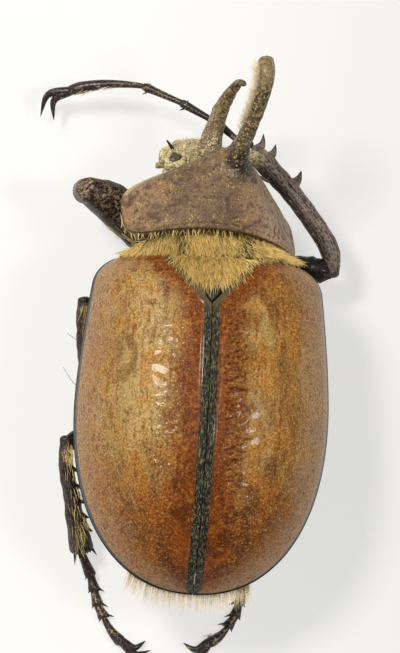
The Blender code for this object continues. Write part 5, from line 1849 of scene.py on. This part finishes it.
class BEETLE_OT_feet(BeetlePiece):
    """Makes the feet: four short joints, a long last one, spines and two claws"""

    bl_idname = "beetle.feet"
    bl_label = "Feet"

    def make(self, scene):
        paint = foot_paint()
        links, spines = [], []
        for number, (name, (joints, _, claws)) in enumerate(FEET.items()):
            self.short_joints(name, np.array(joints[:-1]), links, spines)
            path, radii, along = last_joint(name, 25)
            shape = Shape()
            shape.rings(on_floor(roughened(tube(path, radii, LAST_SIDES), 0.02, 0.5, 80 + number)))
            root = blend(path[0], path[-1], 0.96)
            for tip in claws:
                chord = np.array(tip) - root
                outward = unit(along - chord * (along @ chord) / (chord @ chord))
                bend = outward * CLAW_BOW * np.linalg.norm(chord)
                shape.rings(thorn(root, tip, CLAW_RADIUS, bend, 16, taper=2.0))
            shape.piece(name + "_last_joint", paint, (name + "_tarsus",), 75)
        row("foot_joints", spindle("foot_form", FOOT_PROFILE, 14, pointed=False), links, paint)
        row("foot_spines", spindle("spine_form", SPINE_PROFILE, 5, 0.1), spines, paint)

    def short_joints(self, name, joints, links, spines):
        sign = -1 if name in ("left_hind", "left_middle", "right_fore") else 1
        wide = 0.36 if name.endswith("fore") else 0.48
        for i, (start, end) in enumerate(zip(joints[:-1], joints[1:])):
            along = unit(end - start)
            sunk = 0.0 if i else 0.55
            long = np.linalg.norm(end - start) * 1.02 + sunk
            links.append((start - along * sunk + UP * 0.02, end - start, (wide, wide * 1.1, long)))
            for turn, rise, length in JOINT_SPINES:
                if i or turn < 0:
                    aside = beside(along) * sign * turn
                    size = (1.3 * wide, 1.3 * wide, length * (0.1 + 1.8 * wide))
                    way = aside + along * 0.85 + UP * rise
                    spines.append((blend(start, end, 0.84) + aside * 0.22, way, size))


# Hair


def rest(grid, wanted):
    """The part of each wanted way that runs along the skin."""
    normal = grid_normals(grid, False)
    wanted = np.broadcast_to(np.asarray(wanted, float), grid.shape)
    flat = wanted - normal * (wanted * normal).sum(axis=-1, keepdims=True)
    return unit(flat)


def outward_grid(grid, centre):
    """Rows turned so that their faces point away from a centre."""
    outward = ((grid - centre) * grid_normals(grid, False)).sum() >= 0
    return grid if outward else grid[:, ::-1]


def limb_patch(name, line, widths, cell, cover_way=None, narrow=0.3, along_share=(0.05, 0.95)):
    """Skin round a limb for hair, thick only towards cover_way where one is given."""
    grid = tube(line, widths, 16, high=0.85, rounds=(False, False))
    grid = outward_grid(np.concatenate((grid, grid[:, :1]), axis=1), line[:, None])
    share = down_rows(grid)
    cover = np.where((share > along_share[0]) & (share < along_share[1]), 1.0, 0.0)
    if cover_way is not None:
        out = unit(grid - line[:, None])
        cover = cover * ease((out * unit(cover_way)).sum(axis=-1), narrow, 1.0)
        cover = cover * ease(uneven(grid, 0.8, 91), -0.15, 0.5)
    return patch_mesh(name, grid, unit(np.gradient(line, axis=0))[:, None], cell, cover)


FOOT_HAIR_LEFT = ("right_fore", "left_hind")  # feet whose long hairs stand on the other side
BRISTLES = (
    ((-9.9, 5.0, 3.6), (-11.0, 5.7, 3.2), (-12.1, 6.4, 3.1)),
    ((-10.2, 1.5, 2.6), (-11.2, 1.9, 2.8), (-12.3, 3.3, 3.0)),
)

BARE_SPOTS = ((-2.65, 13.35), (3.02, 13.5))  # dark spots in the collar, as x and y
# The hair below: ends of the skin along y, its middle, cover, growth and place on the unwrap
BELOW = (
    ("chest_patch", (CASE_BASE_Y - 1.2, WAIST_Y + 0.3), 5, 1.0, 1.0, (0.02, 0.02, 0.6, 0.6)),
    ("belly_patch", (WAIST_Y - 0.6, ABDOMEN_END_Y + 0.3), -9, 0.25, 0.6, (0.65, 0.02, 0.3, 0.6)),
)


class BEETLE_OT_hair(BeetlePiece):
    """Grows the golden collar, the horn's brush, the tail fringe and the hair of the legs"""

    bl_idname = "beetle.hair"
    bl_label = "Hair"

    def make(self, scene):
        sizes = scene.beetle_coat
        gold, pale = tone("gold"), tone("pale")
        golden = hair_paint("golden_hair", shade(gold, 0.5), gold)
        peach = hair_paint("pale_hair", shade(pale, 0.6), pale)
        self.collar(golden, sizes)
        self.brush(peach, sizes)
        self.fringe(peach, sizes)
        self.head(peach)
        self.shield_rim(golden)
        self.legs(golden, sizes)
        self.feet(peach)
        self.underside(golden)
        grey = hair_paint("bristle", (0.12, 0.11, 0.1), (0.3, 0.29, 0.28))
        lines = []
        for points in BRISTLES:
            line = curve_through(points, 6)
            lines.append([(place, 0.035 * (1 - 0.6 * i / len(line))) for i, place in enumerate(line)])
        beads("stray_bristles", lines, grey, sides=6)

    def collar(self, material, sizes):
        grid = outward_grid(collar_rows(18)[:, 2:39], (0, 13.5, 8.0))
        cover = np.ones(grid.shape[:2])
        for spot_x, spot_y in BARE_SPOTS:
            spot = ((grid[..., 0] - spot_x) / 0.8) ** 2 + ((grid[..., 1] - spot_y - 0.3) / 2.0) ** 2
            cover = cover * (1 - 0.97 * np.exp(-(spot**2)))
        clumps = ease(uneven(grid, 0.9, 61), -0.9, 0.5)
        cover = cover * (0.45 + 0.55 * clumps) * ease(down_rows(grid, 1, 0), 0.0, 0.08)
        lie = rest(grid, (0.0, -1.0, 0.25))
        ruff = patch_mesh("collar_patch", grid, lie, (0.02, 0.02, 0.6, 0.45), cover)
        grid = outward_grid(plate_rows(16, 17), (0, 10.5, 5.0))
        ahead = 1.2 * ease(grid[..., 1], 9.6, 11.2)
        plate = patch_mesh("plate_patch", grid, rest(grid, -FORWARD), (0.65, 0.02, 0.3, 0.3), ahead)
        coat("collar_hair", material, sizes.collar_density, sizes.collar_length, ruff, plate)

    def brush(self, material, sizes):
        rings = horn_rings(PRONOTAL_HORN[1:], 8, 24)[:-5]
        middle = hung(rings.mean(axis=1))
        grid = outward_grid(hung(rings[:, 5:14]), middle[:, None])
        share = down_rows(grid)
        cover = ease(share, 0.02, 0.3) * (1 - ease(share, 0.93, 1.0))
        along = unit(np.gradient(middle, axis=0))[:, None]
        patch = patch_mesh("brush_patch", grid, along, (0.02, 0.5, 0.4, 0.45), cover)
        coat("horn_brush", material, sizes.brush_density, sizes.brush_length, patch)

    def fringe(self, material, sizes):
        x = np.linspace(-5.7, 5.0, 60)
        rear = -superellipse(x / CASE_HALF_WIDTH, CASE_REAR_ROUND)
        y = CASE_WIDEST_Y + (CASE_WIDEST_Y - CASE_APEX_Y) * rear + 0.9
        level = CASE_MARGIN_Z - 0.15
        grid = np.array([np.stack((x, y, 0 * x + level - drop), axis=-1) for drop in (0.0, 0.35)])
        across = grid[..., 0]
        lie = np.stack((across * 0.035, 0 * across - 1, 0 * across - 0.12), axis=-1)
        patch = patch_mesh("fringe_patch", grid, lie, (0.02, 0.02, 0.9, 0.4))
        coat("tail_fringe", material, FRINGE_DENSITY, sizes.fringe_length, patch)

    def head(self, material):
        grid = outward_grid(hung(head_rows(3, 40)[:, 0:21]), hung((0, 8.5, -0.7)))
        lie = rest(grid, (0.0, 0.6, 1.0))
        patch = patch_mesh("head_patch", grid, lie, (0.02, 0.02, 0.45, 0.45))
        coat("head_hair", material, *HEAD_HAIR, patch)

    def shield_rim(self, material):
        outline = shield_outline(np.linspace(np.pi * 1.03, np.pi * 1.97, 60))
        rim = hung(np.array([outline + (0, 0.25, -0.3), outline + (0, 0.1, -0.12)]))
        patch = patch_mesh("rim_patch", rim, (0.0, -1.0, -0.1), (0.5, 0.02, 0.45, 0.1))
        coat("shield_fringe", material, *RIM_HAIR, patch)

    def legs(self, material, sizes):
        sparse, thick = [], []
        for number, name in enumerate(LEGS):
            low = 0.02 + 0.16 * number
            line, widths = leg_path(name, "femur", 5)
            sparse.append(limb_patch(name + "_thigh_patch", line, widths * 0.98, (0.02, low, 0.2, 0.13)))
            line, widths = leg_path(name, "tibia", 5)
            patch = (name + "_shin_patch", line, widths * 0.98, (0.3, low, 0.2, 0.13))
            if name.endswith("fore"):
                sparse.append(limb_patch(*patch))
            else:
                thick.append(limb_patch(*patch, (-0.8 * SIDES[name.split("_")[0]], -0.2, 0.75), 0.35))
        line, widths = leg_path("left_fore", "femur", 5)
        patch = ("shoulder_patch", line, widths * 1.08, (0.55, 0.02, 0.2, 0.13))
        thick.append(limb_patch(*patch, (-0.2, -0.7, 0.7), 0.0, (0.0, 0.4)))
        coat("leg_hair", material, *LEG_HAIR, *sparse)
        coat("shin_hair", material, SHIN_DENSITY, sizes.leg_length, *thick)

    def feet(self, material):
        patches = []
        for number, name in enumerate(FEET):
            path, radii, along = last_joint(name, 14)
            way = np.cross(along, UP) * (-1 if name in FOOT_HAIR_LEFT else 1) + UP * 0.2
            cell = (0.02, 0.02 + 0.16 * number, 0.5, 0.13)
            patches.append(limb_patch(name + "_foot_patch", path, radii, cell, way, 0.45, (0.4, 1.0)))
        coat("foot_hair", material, *FOOT_HAIR, *patches)

    def underside(self, material):
        patches = []
        for name, ends, middle_y, cover, grow, cell in BELOW:
            grid = np.array([trunk_ring(y)[42:79] for y in np.linspace(*ends, 24)])
            grid = outward_grid(grid, (0, middle_y, 9))
            patches.append(patch_mesh(name, grid, rest(grid, -FORWARD), cell, cover, grow))
        coat("belly_hair", material, *BELLY_HAIR, *patches)


# Stage


FLOOR_REACH = 3.0
VIEW_DEG = (4.0, 8.0, 2.8)  # to the left of straight above, behind it, and the roll
VIEW_CENTRE = (0.54, 8.04, 9.0)  # across, up and towards the camera, in millimetres
VIEW_HALF_HEIGHT = 0.02939


class BEETLE_OT_stage(BeetlePiece):
    """Sets the pale floor, the soft lights and the camera over the back"""

    bl_idname = "beetle.stage"
    bl_label = "Stage"

    def make(self, scene):
        stage = scene.beetle_stage
        mesh = bpy.data.meshes.new("floor")
        corners = [(x * FLOOR_REACH, y * FLOOR_REACH, 0) for x, y in ((-1, -1), (1, -1), (1, 1), (-1, 1))]
        mesh.from_pydata(corners, [], [(0, 1, 2, 3)])
        paper = Paint("floor_paper", 0.1)
        cloud = paper.noise(0.02, 2.0)
        paper.shader.inputs["Emission Color"].default_value = (1.0, 0.995, 0.965, 1.0)
        # The glow dims towards the right: a painted shade over that side of the floor
        glow = paper.fade(paper.axis("X"), -12.0, 26.0, stage.glow, stage.glow * 0.83)
        paper.link(glow, paper.shader.inputs["Emission Strength"])
        paper.base = paper.mix(cloud, shade(stage.floor, 0.985), shade(stage.floor, 1.01))
        mesh.materials.append(paper.done(0.9))
        floor = bpy.data.objects.new("floor", mesh)
        scene.collection.objects.link(floor)
        floor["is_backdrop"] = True

        world = bpy.data.worlds.new("pale_room")
        world.use_nodes = True
        background = world.node_tree.nodes["Background"]
        background.inputs["Color"].default_value = (0.97, 0.98, 1.0, 1.0)
        background.inputs["Strength"].default_value = stage.world
        scene.world = world
        self.light("key_light", (-0.28, 0.18, 0.5), 0.14, stage.key, (1.0, 0.975, 0.93))
        self.light("fill_light", (0.3, -0.02, 0.45), 0.09, stage.fill, (0.97, 0.98, 1.0))
        scene.view_settings.view_transform = "Standard"
        scene.view_settings.look = "None"
        self.camera(scene, stage.distance)

    def light(self, name, place, size, power, colour):
        lamp = bpy.data.lights.new(name, "AREA")
        lamp.shape = "DISK"
        lamp.size = size
        lamp.energy = power
        lamp.color = colour
        holder = bpy.data.objects.new(name, lamp)
        holder.location = place
        holder.rotation_mode = "QUATERNION"
        holder.rotation_quaternion = (Vector((0, 0, 0.01)) - Vector(place)).to_track_quat("-Z", "Y")
        bpy.context.scene.collection.objects.link(holder)

    def camera(self, scene, distance):
        """Looks down on the back, a little from behind and from the left."""
        side, tilt, roll = (math.radians(angle) for angle in VIEW_DEG)
        back = np.array((-math.sin(side) * math.cos(tilt), -math.sin(tilt), math.cos(side) * math.cos(tilt)))
        right = np.array((math.cos(side), 0.0, math.sin(side)))
        up = np.cross(back, right)
        turned = right * math.cos(roll) + up * math.sin(roll)
        upward = up * math.cos(roll) - right * math.sin(roll)
        turn = np.stack((turned, upward, back), axis=-1)
        place = (turn @ VIEW_CENTRE + SHIFT) * MM + back * distance
        data = bpy.data.cameras.new("camera")
        data.sensor_width = 36.0
        data.lens = 18.0 / (VIEW_HALF_HEIGHT / distance)
        data.clip_start, data.clip_end = 0.05, 20.0
        camera = bpy.data.objects.new("camera", data)
        camera.matrix_world = Matrix.Translation(Vector(place)) @ Matrix(turn.tolist()).to_4x4()
        scene.collection.objects.link(camera)
        scene.camera = camera


class BEETLE_PT_panel(bpy.types.Panel):
    """Lists the beetle's pieces and sizes"""

    bl_label = "Golofa beetle"
    bl_idname = "BEETLE_PT_panel"
    bl_space_type = "VIEW_3D"
    bl_region_type = "UI"
    bl_category = "Beetle"

    def draw(self, context):
        layout = self.layout
        for group, _ in GROUPS:
            box = layout.box()
            settings = getattr(context.scene, group)
            for name in settings.bl_rna.properties.keys():
                if name not in ("rna_type", "name"):
                    box.prop(settings, name)
        for operator in MAKERS:
            layout.operator(operator.bl_idname)


GROUPS = (
    ("beetle_sizes", BEETLE_PG_sizes),
    ("beetle_tints", BEETLE_PG_tints),
    ("beetle_coat", BEETLE_PG_coat),
    ("beetle_stage", BEETLE_PG_stage),
)
MAKERS = (
    BEETLE_OT_wing_cases,
    BEETLE_OT_trunk,
    BEETLE_OT_shield,
    BEETLE_OT_horns,
    BEETLE_OT_head,
    BEETLE_OT_legs,
    BEETLE_OT_feet,
    BEETLE_OT_hair,
    BEETLE_OT_stage,
)


def register():
    for name, group in GROUPS:
        bpy.utils.register_class(group)
        setattr(bpy.types.Scene, name, PointerProperty(type=group))
    for operator in MAKERS:
        bpy.utils.register_class(operator)
    bpy.utils.register_class(BEETLE_PT_panel)


def unregister():
    bpy.utils.unregister_class(BEETLE_PT_panel)
    for operator in reversed(MAKERS):
        bpy.utils.unregister_class(operator)
    for name, group in reversed(GROUPS):
        delattr(bpy.types.Scene, name)
        bpy.utils.unregister_class(group)


def main():
    register()
    for operator in MAKERS:
        category, name = operator.bl_idname.split(".")
        getattr(getattr(bpy.ops, category), name)()
    boxes = {"cad": CAD_BOX, "visual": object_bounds()}
    {name: [list(low), list(high)] for name, (low, high) in boxes.items()}


if __name__ == "__main__":
    main()
